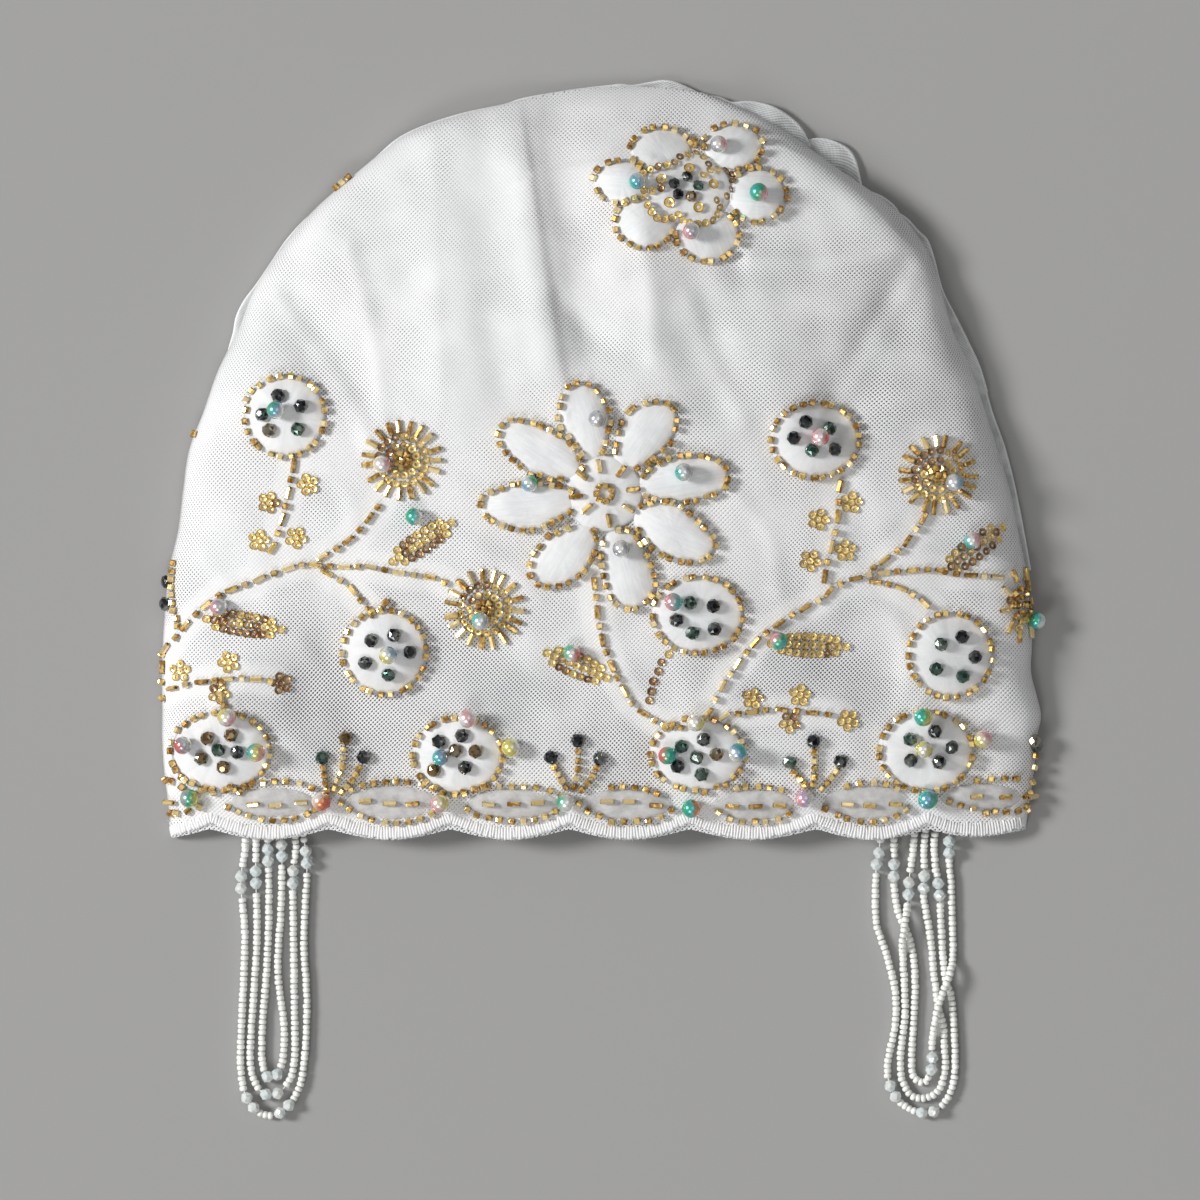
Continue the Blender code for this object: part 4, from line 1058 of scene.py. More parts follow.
def thread_material():
    recipe = Recipe("sewing_thread")
    twist = recipe.noise(2600.0, detail=1.0)
    tone = recipe.mix(twist, (0.86, 0.86, 0.85), (0.93, 0.93, 0.93))
    return recipe.surface({"Base Color": tone, "Roughness": 0.6})


def floor_material():
    recipe = Recipe("plain_floor")
    grain = recipe.noise(3.0, detail=3.0)
    return recipe.surface({
        "Base Color": recipe.mix(grain * 0.2, colour("floor"), (0.33, 0.335, 0.335)),
        "Roughness": 0.75, "Specular IOR Level": 0.2})


FINISHES = {
    "net": (net_material, "net"), "loose_net": (loose_net_material, "net"),
    "hem": (hem_material, "border"), "padding": (padding_material, "padding"),
    "gold": (gold_material, "gold_bead"), "sequin": (sequin_material, "sequin"),
    "pearl": (pearl_material, "pearl"), "dark_crystal": (dark_crystal_material, "dark_crystal"),
    "clear_crystal": (clear_crystal_material, "clear_crystal"),
    "seed_bead": (seed_bead_material, "white_bead"), "thread": (thread_material, "border"),
}
MADE_FINISHES = {}


def finish_piece(piece, finish, *nodes):
    """Give a piece its material, and let it ride and stand for its CAD nodes."""
    make, slot = FINISHES[finish]
    if finish not in MADE_FINISHES:
        MADE_FINISHES[finish] = make()
    piece.data.materials.append(MADE_FINISHES[finish])
    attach(piece, "root")
    if nodes:
        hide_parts(*nodes)
    return piece


# Meshes

def new_mesh(name, points, faces, smooth=True):
    mesh = bpy.data.meshes.new(name)
    mesh.from_pydata([tuple(p) for p in points], [], faces)
    mesh.validate()
    if smooth:
        mesh.shade_smooth()
    piece = bpy.data.objects.new(name, mesh)
    bpy.context.scene.collection.objects.link(piece)
    return piece


def store(mesh, name, values, kind="FLOAT"):
    """Keep a number or a colour at each point of a mesh."""
    attribute = mesh.attributes.new(name, kind, "POINT")
    key = {"FLOAT": "value", "FLOAT_COLOR": "color", "FLOAT_VECTOR": "vector"}[kind]
    attribute.data.foreach_set(key, np.asarray(values, dtype=np.float32).ravel())


def store_uv(mesh, name, places):
    """Keep a flat place at each point of a mesh, as a UV map."""
    layer = mesh.uv_layers.new(name=name)
    corners = np.empty(len(mesh.loops), dtype=np.int32)
    mesh.loops.foreach_get("vertex_index", corners)
    layer.data.foreach_set("uv", np.asarray(places, dtype=np.float32)[corners].ravel())


def grid_faces(rows, columns, closed=False, start=0):
    """Quads of a grid whose points run along its columns; closed joins the last column."""
    faces = []
    for row in range(rows - 1):
        for column in range(columns if closed else columns - 1):
            after = (column + 1) % columns
            a, b = start + row * columns + column, start + row * columns + after
            faces.append((a, b, b + columns, a + columns))
    return faces


def turned(profile, side_count):
    """Points and faces of a closed profile of radius and height, turned round z."""
    angles = 2 * math.pi * np.arange(side_count) / side_count
    points = [(r * math.cos(a), r * math.sin(a), z) for a in angles for r, z in profile]
    faces = []
    count = len(profile)
    for side in range(side_count):
        here, there = side * count, (side + 1) % side_count * count
        for k in range(count):
            after = (k + 1) % count
            faces.append((here + k, there + k, there + after, here + after))
    return np.array(points), faces


def faceted(rings, side_count, twist=0.5):
    """Points and faces of a cut stone, from rings of radius, height and half turns of a side."""
    points = []
    for row, (radius, height) in enumerate(rings):
        for k in range(side_count):
            angle = 2 * math.pi * (k + twist * (row % 2)) / side_count
            points.append((radius * math.cos(angle), radius * math.sin(angle), height))
    faces = [tuple(reversed(range(side_count)))]
    for row in range(len(rings) - 1):
        for k in range(side_count):
            a, b = row * side_count + k, row * side_count + (k + 1) % side_count
            c, d = a + side_count, b + side_count
            if row % 2:
                faces += [(a, b, d), (a, d, c)]
            else:
                faces += [(a, b, c), (b, d, c)]
    last = (len(rings) - 1) * side_count
    faces.append(tuple(range(last, last + side_count)))
    return np.array(points), faces


def unit(vectors):
    vectors = np.asarray(vectors, dtype=float)
    return vectors / np.maximum(np.linalg.norm(vectors, axis=-1, keepdims=True), 1e-12)


class Batch:
    """Like items, set one by one, that become one piece. edge marks each point of an item."""

    def __init__(self, template, chance, edge=None):
        self.points, self.faces = template
        self.chance = chance
        self.edge = edge
        self.frames, self.places, self.tints = [], [], []

    def set(self, place, axis, upward, size, tint=None, spin=0.0):
        """Set one item: its z along axis, its x towards upward turned by spin."""
        axis = unit(axis)
        side = unit(np.cross(upward, axis))
        front = np.cross(side, axis) * -1.0
        turned_front = front * math.cos(spin) + side * math.sin(spin)
        turned_side = np.cross(axis, turned_front)
        self.frames.append(np.stack([turned_front, turned_side, axis], 1) * np.asarray(size))
        self.places.append(np.asarray(place, dtype=float))
        self.tints.append(self.chance.random() if tint is None else tint)

    def make(self, name, finish, *nodes, smooth=False):
        count = len(self.points)
        points = np.einsum("kij,nj->kni", np.array(self.frames), self.points)
        points = (points + np.array(self.places)[:, None, :]).reshape(-1, 3)
        faces = [tuple(index + k * count for index in face)
                 for k in range(len(self.places)) for face in self.faces]
        piece = new_mesh(name, points, faces, smooth)
        store(piece.data, "tint", np.repeat(self.tints, count))
        if self.edge is not None:
            store(piece.data, "edge", np.tile(self.edge, len(self.places)))
        return finish_piece(piece, finish, *nodes)


def drilled(bevel, bore=0.42):
    """Profile of a short cut bead of radius 1 and length 1, with a hole."""
    return ((bore, -0.5), (1 - bevel, -0.5), (1.0, bevel - 0.5), (1.0, 0.5 - bevel),
            (1 - bevel, 0.5), (bore, 0.5))


def round_profile(steps, bore):
    """Profile of a round drilled bead of radius 1."""
    start = math.asin(bore)
    return [(math.sin(a), -math.cos(a)) for a in np.linspace(start, math.pi - start, steps)]


def sequin_profile():
    """A thin cup with a hole, radius 1."""
    return ((0.33, 0.02), (0.43, 0.0), (0.74, 0.05), (1.0, 0.17), (0.985, 0.22), (0.72, 0.10),
            (0.43, 0.05))


GROUNDS = {}


def ground(*names):
    """Search tree over pieces that others are sewn to."""
    if names not in GROUNDS:
        points, faces = [], []
        for name in names:
            mesh = bpy.data.objects[name].data
            start = len(points)
            points.extend(vertex.co.copy() for vertex in mesh.vertices)
            faces.extend([start + k for k in face.vertices] for face in mesh.polygons)
        GROUNDS[names] = BVHTree.FromPolygons(points, faces)
    return GROUNDS[names]


def rest(tree, x, y):
    """Height and upward direction of the highest face under a place."""
    place, normal, _, _ = tree.ray_cast(Vector((x, y, HIGH_ABOVE)), DOWN)
    if place is None:
        place, normal, _, _ = tree.find_nearest(Vector((x, y, 0.004)))
    if normal.z < 0:
        normal = -normal
    return place.z, np.array(normal)


def seat(tree, x, y, lift):
    """Middle of an item that stands off the face under a place, and the way out of that face.

    Where the cap turns down at a side fold, or ends, the item sits on the nearest face.
    """
    above = Vector((x, y, HIGH_ABOVE))
    for _ in range(SEAT_ROUNDS):
        place, normal, _, _ = tree.ray_cast(above, DOWN)
        if place is None or abs(normal.z) < STEEP:
            place, normal, _, _ = tree.find_nearest(Vector((x, y, SIDE_HEIGHT)))
        outward = normal.z if abs(normal.z) > STEEP else normal.x * x
        if outward < 0:
            normal = -normal
        middle = place + normal * lift
        if normal.z < NEARLY_LEVEL:
            break
        above.x += x - middle.x
        above.y += y - middle.y
    return np.array(middle), np.array(normal)


def sew_line(batch, tree, route, pitch, size, uneven=0.14, pairs=0.0):
    """Sew beads along a route, each with its hole along the thread; pairs draws twos together."""
    total = route_length(route)
    count = max(int(total / pitch), 1)
    even = (np.arange(count) + 0.5) * total / count
    shifts = np.array([batch.chance.uniform(-uneven, uneven) + (pairs if k % 2 == 0 else -pairs)
                       for k in range(count)]) * pitch
    points, directions = along_route(route, even + shifts)
    for (x, y), (dx, dy) in zip(points, directions):
        scale = size * batch.chance.uniform(0.92, 1.06)
        middle, normal = seat(tree, x, y, scale / 2)
        sway = batch.chance.uniform(-0.28, 0.28)
        axis = np.array([dx * math.cos(sway) - dy * math.sin(sway),
                         dx * math.sin(sway) + dy * math.cos(sway), 0.0])
        axis = axis - normal * np.dot(axis, normal)
        batch.set(middle, axis, normal, (scale / 2, scale / 2, scale),
                  spin=batch.chance.uniform(0, math.pi))


# Net

def near_stems(x, y):
    """Share of the backing behind the stems at each place, from 0 to 1 along their middle."""
    places = np.concatenate([smooth_route(row) for row in STEMS])
    tree = KDTree(len(places))
    for k, (px, py) in enumerate(places[:, :2]):
        tree.insert((px, py, 0.0), k)
    tree.balance()
    away = [tree.find((px, py, 0.0))[2] for px, py in zip(x.ravel(), y.ravel())]
    away = np.array(away).reshape(x.shape)
    return smoothstep(BACKING_REACH, BACKING_REACH * 0.5, away)


def front_openness(x, y, v):
    """How open the net of the front is: more so low down, in dips and at the hem's border. Opener
    net is painted darker, so this paints shade low down, in dips and in the creases' valleys, and
    light on their ridges.
    """
    u, small = to_u(x), crease_rise(x, y)
    dips = np.clip(-fold_rise(x, y) / DEEP_DIP, 0, 1)
    share = OPENING["base"] + OPENING["low"] * smoothstep(400, 640, v) + OPENING["dip"] * dips
    share += (OPENING["valley"] * np.clip(-small, 0, 1.5)
              - CLOSING["ridge"] * np.clip(small, 0, 1.2))
    for patch_u, patch_v, radius, opener in OPEN_PATCHES:
        share += opener * np.exp(-((u - patch_u) ** 2 + (v - patch_v) ** 2) / radius ** 2)
    beside = np.exp(-((u - np.interp(v, *PLEAT)) / PLEAT_WIDTH) ** 2)
    share -= CLOSING["pleat"] * (beside * smoothstep(110, 160, v) * smoothstep(420, 360, v))
    corner = smoothstep(250, 200, u) * smoothstep(700, 770, v)
    share -= CLOSING["hem"] * np.maximum(smoothstep(786, 812, v), corner)
    share -= CLOSING["stem"] * near_stems(x, y)
    share += OPENING["border"] * smoothstep(820, 826, v)
    return share


def cloth_places(points, across, share, is_front):
    """Place of each point of the crown in its cloth, as shares of the cloth's size."""
    x, y, z = points[:, :, 0], points[:, :, 1], points[:, :, 2]
    fold = smoothstep(*FOLD_BAND, np.abs(across[1:])) * is_front[1:]
    run = np.cumsum(np.sqrt(np.diff(x, axis=1) ** 2 + fold * np.diff(z, axis=1) ** 2), 1)
    run = np.concatenate([np.zeros((len(x), 1)), run], 1)
    middle = FRONT_COLUMNS // 2
    flat_x = FLAT_MIDDLE + x[:, [middle]] - (run - run[:, [middle]])
    fold = smoothstep(*FOLD_BAND, share[1:])[:, None]
    climb = np.cumsum(np.sqrt(np.diff(y, axis=0) ** 2 + fold * np.diff(z, axis=0) ** 2), 0)
    flat_y = FLAT_BOTTOM + y[[0]] + np.concatenate([np.zeros_like(y[[0]]), climb], 0)
    return np.stack([flat_x / CLOTH_WIDTH, flat_y / CLOTH_HEIGHT], 2).reshape(-1, 2)


def make_crown():
    """The bag of net: the front from its right side fold to its left, then the back."""
    front = spread(FRONT_COLUMNS)
    back = np.linspace(-1, 1, BACK_COLUMNS + 2)[1:]
    across = np.concatenate([front, back])
    is_front = np.arange(len(across)) < FRONT_COLUMNS
    left, right = sides(float(HEM_V))
    hem_u = to_u((left + right) / 2 + across * (right - left) / 2)
    hem_v = scallop(hem_u, EDGE_VALLEY_V, EDGE_BOTTOM_V) - drawn_up(hem_u)
    hem_v = hem_v - np.where(is_front, 0, BACK_SCALLOP_SHORTER)
    share = np.arange(CROWN_ROWS) / (CROWN_ROWS - 1)
    eased = (1 - (1 - share) ** ROW_EASING)[:, None]
    v = hem_v[None, :] + (TOP_V + TOP_GAP - hem_v[None, :]) * eased
    s = np.broadcast_to(across[None, :], v.shape)
    left, right = sides(v)
    x = (left + right) / 2 + s * (right - left) / 2
    y = to_y(v)
    slack = BACK_LIFT * (1 + 0.5 * np.sin(x * 300 + y * 140) * np.sin(y * 210))
    z = np.where(is_front[None, :], front_height(s, v), slack)
    points = np.stack([x, y, z], 2)
    crown = new_mesh("crown_net", points.reshape(-1, 3), grid_faces(*v.shape))
    store_uv(crown.data, "knit", cloth_places(points, across, share, is_front))
    openness = np.clip(front_openness(x, y, v), 0.05, 0.9)
    store(crown.data, "openness", np.where(is_front[None, :], openness, BACK_OPENNESS))
    return finish_piece(crown, "net", "crown")


def make_loose_net():
    """Lobes of the back that show beyond the front, each a flat fold with a rolled edge."""
    points, faces, rolled, flat = [], [], [], []
    section = np.array(LOBE_SECTION)
    edge = np.exp(-((section[:, 0] - 1.0) / 0.07) ** 2)
    for number, (outer, inner) in enumerate(LOBES):
        outer_route = smooth_route(outer)
        inner_route = smooth_route(inner)
        count = max(int(route_length(outer_route) / (1.0 * MM)), 16)
        shares = np.linspace(0, 1, count)
        far, _ = along_route(outer_route, shares * route_length(outer_route))
        near, _ = along_route(inner_route, shares * route_length(inner_route))
        start = len(points)
        level = 1.0 + 0.16 * (number % 3)
        for k in range(count):
            wave = 1 + 0.10 * math.sin(k * 0.55 + number)
            for (reach, height), rim in zip(section, edge):
                place = near[k] + (far[k] - near[k]) * reach
                points.append((place[0], place[1], height * MM * level * wave))
                rolled.append(rim)
                flat.append((k * MM / LOOSE_WIDTH, (number * 0.02 + reach * 0.012) / LOOSE_HEIGHT))
        faces += grid_faces(count, len(section), start=start)
    loose = new_mesh("loose_back_net", points, faces)
    store(loose.data, "rolled", rolled)
    store(loose.data, "openness", np.full(len(points), LOOSE_OPENNESS))
    store_uv(loose.data, "knit", np.array(flat))
    return finish_piece(loose, "loose_net")


def hem_route():
    """Middle of the stitched edge, round the front from right to left, then the back."""
    across = spread(HEM_POINTS)
    left, right = sides(float(HEM_V))
    middle, half = (left + right) / 2, (right - left) / 2
    x = middle + across * half
    v = scallop(to_u(x), HEM_VALLEY_V, HEM_BOTTOM_V) - drawn_up(to_u(x))
    front = np.stack([x, to_y(v), front_height(across, v) + HEM_LIFT], 1)
    back = front[::-1].copy()
    back[:, 1] += BACK_SCALLOP_SHORTER * STEP
    back[:, 2] = BACK_HEM_HEIGHT
    return np.concatenate([front, back[1:-1], front[:1]])


def hem_frame():
    """Places along the stitched edge, four to a stitch, with the ways out and up, and its width."""
    route = hem_route()
    total = route_length(route)
    count = int(total / sizes().stitch_pitch) * len(STITCH)
    centres, directions = along_route(route, np.arange(count) * total / count)
    tangents = unit(directions)
    outward = unit(np.array([0.0, -1.0, 0.0]) + tangents * tangents[:, 1:2])
    valley = scallop(to_u(centres[:, 0]), NARROW_VALLEY, 1.0)
    return centres, outward, np.cross(tangents, outward), sizes().hem_width / 2 * valley


def make_hem():
    """A satin-stitched band that swells at each stitch, with uneven ends on both sides and painted
    shade in its grooves.
    """
    centres, outward, upward, half = hem_frame()
    count = len(centres)
    chance = random.Random(3)
    stitches = count // len(STITCH)
    swell, shade = (np.tile([step[k] for step in STITCH], stitches) for k in (0, 1))
    pull, loose, skew, stand = (
        np.repeat([chance.uniform(low, high) for _ in range(stitches)], len(STITCH))
        for low, high in ((0.84, 1.14), (0.72, 1.26), (-0.24 * MM, 0.24 * MM), (0.80, 1.12)))
    along = np.cross(outward, upward)
    rings, grooves = [], []
    for wide, thick, groove in HEM_SECTION:
        inner = wide < -0.4
        uneven = pull if wide > 0.5 else loose if inner else 1.0
        tooth = TOOTH["inner" if inner else "outer"]
        reach = half * wide * uneven * (1 - tooth + tooth * swell)
        rise = HEM_THICKNESS / 2 * thick * swell * stand
        slant = along * (skew * wide)[:, None]
        rings.append(centres + outward * reach[:, None] + upward * rise[:, None] + slant)
        grooves.append(np.clip(shade + groove, 0.0, 1.0))
    points = np.stack(rings, 1)
    points[:, :, 2] = np.maximum(points[:, :, 2], 0.05 * MM)
    around = len(HEM_SECTION)
    faces = grid_faces(count, around, closed=True)
    last = (count - 1) * around
    for k in range(around):
        after = (k + 1) % around
        faces.append((last + k, last + after, after, k))
    hem = new_mesh("hem_stitching", points.reshape(-1, 3), faces)
    store(hem.data, "groove", np.stack(grooves, 1))
    return finish_piece(hem, "hem", "hem_edging")


def make_fringe():
    """Short loose thread ends along the lower side of the hem, and some along its upper side."""
    centres, outward, upward, half = hem_frame()
    chance = random.Random(5)
    points, faces = [], []
    for _ in range(FRINGE_COUNT):
        k = chance.randrange(len(centres))
        along = np.cross(outward[k], upward[k])
        lean, rise = chance.uniform(-0.8, 0.8), chance.uniform(-0.4, 0.4)
        side = -1.0 if chance.random() < INNER_FRINGE else 1.0
        ahead = unit(outward[k] * side + along * lean + upward[k] * rise)
        root = centres[k] + outward[k] * side * half[k] * 0.90
        tip = root + ahead * chance.uniform(*FRINGE_LENGTH) * MM
        root[2] = max(root[2], 0.15 * MM)
        tip[2] = max(tip[2], 0.08 * MM)
        start = len(points)
        for turn in range(3):
            angle = 2 * math.pi * turn / 3
            ring = along * math.cos(angle) + upward[k] * math.sin(angle)
            points.append(root + ring * FRINGE_RADIUS * MM)
        points.append(tip)
        faces += [(start, start + 1, start + 3), (start + 1, start + 2, start + 3),
                  (start + 2, start, start + 3), (start + 2, start + 1, start)]
    return finish_piece(new_mesh("hem_fringe", points, faces), "thread")


# Pads

def pad_points(tree, outline, height, grain, number):
    """Points of one closed domed pad, with its fibre places and how near its rim they lie."""
    chance = random.Random(number)
    around = PAD_SIDES
    edge, _ = along_route(outline, np.arange(around) * route_length(outline) / around)
    centre = edge.mean(0)
    puckers = [(chance.randint(5, 17), chance.uniform(0, 6.3)) for _ in range(4)]
    points, fibres, rims = [], [], []
    shares = np.linspace(0.0, 1.0, PAD_RINGS + 1)[1:] ** 0.8
    layers = [(share, True) for share in shares] + [(0.97, False), (0.5, False)]

    def add(place, share, upper, angle):
        z, _ = rest(tree, place[0], place[1])
        lift = PAD_UNDER
        if upper:
            dome = max(1 - share ** 2.4, 0.0) ** 0.75
            crinkle = sum(math.sin(n * angle + phase) for n, phase in puckers) / 4
            lift = PAD_STAND + height * dome + PUCKER * crinkle * share * share * (1.25 - share)
        points.append((place[0], place[1], z + lift))
        fibres.append(grain(place - centre, share, angle))
        rims.append(share ** 7)

    add(centre, 0.0, True, 0.0)
    for share, upper in layers:
        for k in range(around):
            angle = 2 * math.pi * k / around
            add(centre + (edge[k] - centre) * share, share, upper, angle)
    add(centre, 0.0, False, 0.0)
    faces = [(0, 1 + (k + 1) % around, 1 + k) for k in range(around)]
    faces += grid_faces(len(layers), around, closed=True, start=1)
    tip = len(points) - 1
    last = 1 + (len(layers) - 1) * around
    faces += [(last + k, last + (k + 1) % around, tip) for k in range(around)]
    return points, faces, fibres, rims


def make_pads(name, tree, outlines, height, grains, fill, *nodes, thin=0.0):
    """One piece of closed pads, each inside its own outline; thin shows the net through them."""
    points, faces, fibres, rims = [], [], [], []
    for number, (outline, grain) in enumerate(zip(outlines, grains)):
        start = len(points)
        more = pad_points(tree, outline, height, grain, number + len(name))
        points += more[0]
        faces += [tuple(k + start for k in face) for face in more[1]]
        fibres += more[2]
        rims += more[3]
    pads = new_mesh(name, points, faces)
    store(pads.data, "fibre", fibres, "FLOAT_VECTOR")
    store(pads.data, "rim", rims)
    store(pads.data, "thin", np.full(len(points), thin))
    finish_piece(pads, "padding", *nodes)
    return pads


def round_grain(offset):
    def grain(place, share, angle):
        return (6.0 * math.cos(angle) + offset, 6.0 * math.sin(angle), 1.2 * share)
    return grain


def long_grain(direction, offset):
    """Fibres that run along a direction."""
    ahead = unit(direction)

    def grain(place, share, angle):
        along = float(np.dot(place, ahead)) / MM
        aside = float(place[0] * ahead[1] - place[1] * ahead[0]) / MM
        return (aside * 1.5 + offset, along * 0.12, offset)
    return grain


def oval_outline(u, v, half_width, half_height, count=48):
    angles = 2 * math.pi * np.arange(count + 1) / count
    across, down = u + half_width * np.cos(angles), v - half_height * np.sin(angles)
    return place_rows(np.stack([across, down], 1))


def shrink(outline, by):
    """An outline moved in by about a distance."""
    centre = outline[:-1].mean(0)
    reach = np.linalg.norm(outline - centre, axis=1, keepdims=True)
    return centre + (outline - centre) * (1 - by / reach)


def petal_routes(closed):
    """The daisy's petals: open lines for their beads, or closed outlines for their pads."""
    return [smooth_route(petal, closed, parts=6) for petal in DAISY_PETALS]


def rose_arcs():
    """For each rose petal, the part of its oval that no other petal covers."""
    arcs = []
    for u, v, half_width, half_height in ROSE_PETALS:
        inward = math.atan2(v - ROSE_CENTRE[1], ROSE_CENTRE[0] - u)
        arc = []
        for k in range(1, 72):
            angle = inward + 2 * math.pi * k / 72
            pu = u + half_width * math.cos(angle)
            pv = v - half_height * math.sin(angle)
            covered = any(math.hypot((pu - a) / (wide - 3), (pv - b) / (high - 3)) < 1
                          for a, b, wide, high in ROSE_PETALS if (a, b) != (u, v))
            near = math.hypot((pu - ROSE_CENTRE[0]) / 48, (pv - ROSE_CENTRE[1]) / 39) < 1
            if not covered and not near:
                arc.append((pu, pv))
        arcs.append(place_rows(arc))
    return arcs


class TURBAN_OT_net(bpy.types.Operator):
    """Build the bag of net and the loose folds of its back"""
    bl_idname = "turban.net"
    bl_label = "Net"

    def execute(self, context):
        make_crown()
        loose = make_loose_net()
        return {"FINISHED"}


class TURBAN_OT_hem(bpy.types.Operator):
    """Stitch the scalloped hem"""
    bl_idname = "turban.hem"
    bl_label = "Hem"

    def execute(self, context):
        hem = make_hem()
        fringe = make_fringe()
        return {"FINISHED"}


class TURBAN_OT_pads(bpy.types.Operator):
    """Sew on the padded discs, petals and ovals"""
    bl_idname = "turban.pads"
    bl_label = "Pads"

    def execute(self, context):
        tree = ground("crown_net")
        for number, (name, u, v, half_width, half_height, height) in enumerate(DISCS):
            outline = oval_outline(u, v, half_width, half_height)
            make_pads("pad_" + name, tree, [outline], (height - DISC_DROP) * MM,
                      [round_grain(number * 3.7)], 0.5, name, thin=0.12)
        for number, (name, u, v, half_width, half_height, *_) in enumerate(OVALS):
            outline = oval_outline(u, v, half_width - 1, half_height - 1)
            make_pads("pad_" + name, tree, [outline], OVAL_HEIGHT,
                      [long_grain((1.0, 0.1), number * 5.1)], 0.35, name, thin=0.8)
        outlines = petal_routes(closed=True)
        middle = place_rows([DAISY_CENTRE])[0]
        grains = [long_grain(outline.mean(0) - middle, number * 4.3)
                  for number, outline in enumerate(outlines)]
        outlines = [shrink(outline, -0.35 * MM) for outline in outlines]
        outlines.append(oval_outline(*DAISY_CENTRE, 39, 39))
        grains.append(round_grain(3.1))
        make_pads("daisy_petals", tree, outlines, PETAL_HEIGHT, grains, 0.5, "daisy")
        rose = [oval_outline(*petal) for petal in ROSE_PETALS]
        rose.append(oval_outline(*ROSE_CENTRE, 44, 36))
        centre = place_rows([ROSE_CENTRE])[0]
        grains = [long_grain(outline.mean(0) - centre, number * 2.9)
                  for number, outline in enumerate(rose[:-1])]
        grains.append(round_grain(9.0))
        make_pads("rose_petals", tree, rose, PETAL_HEIGHT, grains, 0.5, "rose")
        return {"FINISHED"}


def sewn_ground():
    """Search tree over the net and all its pads."""
    names = ["pad_" + row[0] for row in DISCS + OVALS]
    return ground("crown_net", *names, "daisy_petals", "rose_petals")


def gold_batch(seed, *cut):
    """A batch of drilled beads; their ends are marked for painted shade."""
    bead = turned(drilled(*cut), 6)
    ends = np.where(np.abs(bead[0][:, 2]) > 0.45, 1.0, 0.0)
    return Batch(bead, random.Random(seed), ends)


def bead_batch(seed):
    return gold_batch(seed, 0.18)


def tube_batch(seed):
    return gold_batch(seed, 0.10, 0.5)


def set_tube(batch, tree, x, y, turn):
    """Lay one tube bead at a place, turned in the plane of the front."""
    across = sizes().tube * batch.chance.uniform(0.94, 1.05)
    long = sizes().tube_length * batch.chance.uniform(0.95, 1.04)
    step = np.array([math.cos(turn), math.sin(turn)]) * long * 0.4
    stand = across * 0.52
    ahead, _ = seat(tree, x + step[0], y + step[1], stand)
    behind, _ = seat(tree, x - step[0], y - step[1], stand)
    middle, normal = seat(tree, x, y, stand)
    middle[2] = max(middle[2], (ahead[2] + behind[2]) / 2)
    batch.set(middle, ahead - behind, normal, (across / 2, across / 2, long),
              spin=batch.chance.uniform(0, math.pi))


def sew_stem(tubes, beads, tree, route):
    """A tube, a bead, a tube, a bead along a stem, with gaps between them."""
    total = route_length(route)
    at = 0.0
    tube_length, bead = sizes().tube_length, sizes().bead
    while at < total - 0.5 * tube_length:
        gap = beads.chance.uniform(*STEM_GAP) * MM
        (place,), (ahead,) = along_route(route, np.array([at + tube_length / 2]))
        turn = math.atan2(ahead[1], ahead[0]) + beads.chance.uniform(-0.12, 0.12)
        set_tube(tubes, tree, place[0], place[1], turn)
        at += tube_length + gap
        if at + bead > total:
            break
        (place,), (ahead,) = along_route(route, np.array([at + bead / 2]))
        middle, normal = seat(tree, place[0], place[1], bead * 0.5)
        beads.set(middle, (ahead[0], ahead[1], 0.0), normal, (bead / 2, bead / 2, bead),
                  spin=beads.chance.uniform(0, 3))
        at += bead + beads.chance.uniform(*STEM_GAP) * MM


class TURBAN_OT_gold_lines(bpy.types.Operator):
    """Sew the gold beads round the pads and the stems between them"""
    bl_idname = "turban.gold_lines"
    bl_label = "Gold lines"

    def execute(self, context):
        tree = sewn_ground()
        pitch, size = sizes().bead_pitch, sizes().bead
        rims = bead_batch(11)
        for _, u, v, half_width, half_height, _ in DISCS:
            route = oval_outline(u, v, half_width - 1, half_height - 1)
            sew_line(rims, tree, route, pitch, size, pairs=0.09)
        for *_, over, under, _ in OVALS:
            for line in (over, under):
                sew_line(rims, tree, smooth_route(line), OVAL_PITCH_SHARE * pitch, size)
        rims.make("rim_beads", "gold")
        flowers = bead_batch(12)
        for route in petal_routes(closed=False) + rose_arcs():
            sew_line(flowers, tree, route, pitch, size, pairs=0.09)
        middle = oval_outline(*DAISY_CENTRE, 8, 8, 14)
        sew_line(flowers, tree, middle, CENTRE_PITCH, size, uneven=0.05)
        (x, y), = place_rows([ROSE_DROP])
        drop, normal = seat(tree, x, y, 1.1 * MM)
        flowers.set(drop, (0.5, -1.0, 0.0), normal, (1.3 * MM, 1.3 * MM, 2.7 * MM), tint=0.55)
        flowers.make("flower_beads", "gold")
        stems, tubes = bead_batch(13), tube_batch(14)
        for stem in STEMS:
            sew_stem(tubes, stems, tree, smooth_route(stem))
        for sprig in SPRIGS:
            route = smooth_route(sprig)
            sew_line(stems, tree, route, SPRIG_PITCH, size, uneven=0.05)
        for x, y in place_rows(LONE_BEADS):
            middle, normal = seat(tree, x, y, size * 0.5)
            turn = stems.chance.uniform(0, math.pi)
            stems.set(middle, (math.cos(turn), math.sin(turn), 0.0), normal,
                      (size / 2, size / 2, size))
        for u, v, turn in LONE_TUBES:
            set_tube(tubes, tree, to_x(u), to_y(v), turn)
        for u, v in DAISY_RAYS:
            turn = math.atan2(DAISY_CENTRE[1] - v, u - DAISY_CENTRE[0])
            set_tube(tubes, tree, to_x(u), to_y(v), turn)
        for *_, places in OVALS:
            for u, v in places:
                set_tube(tubes, tree, to_x(u), to_y(v), tubes.chance.uniform(-0.12, 0.12))
        stems.make("stem_beads", "gold")
        tubes.make("stem_tubes", "gold")
        return {"FINISHED"}


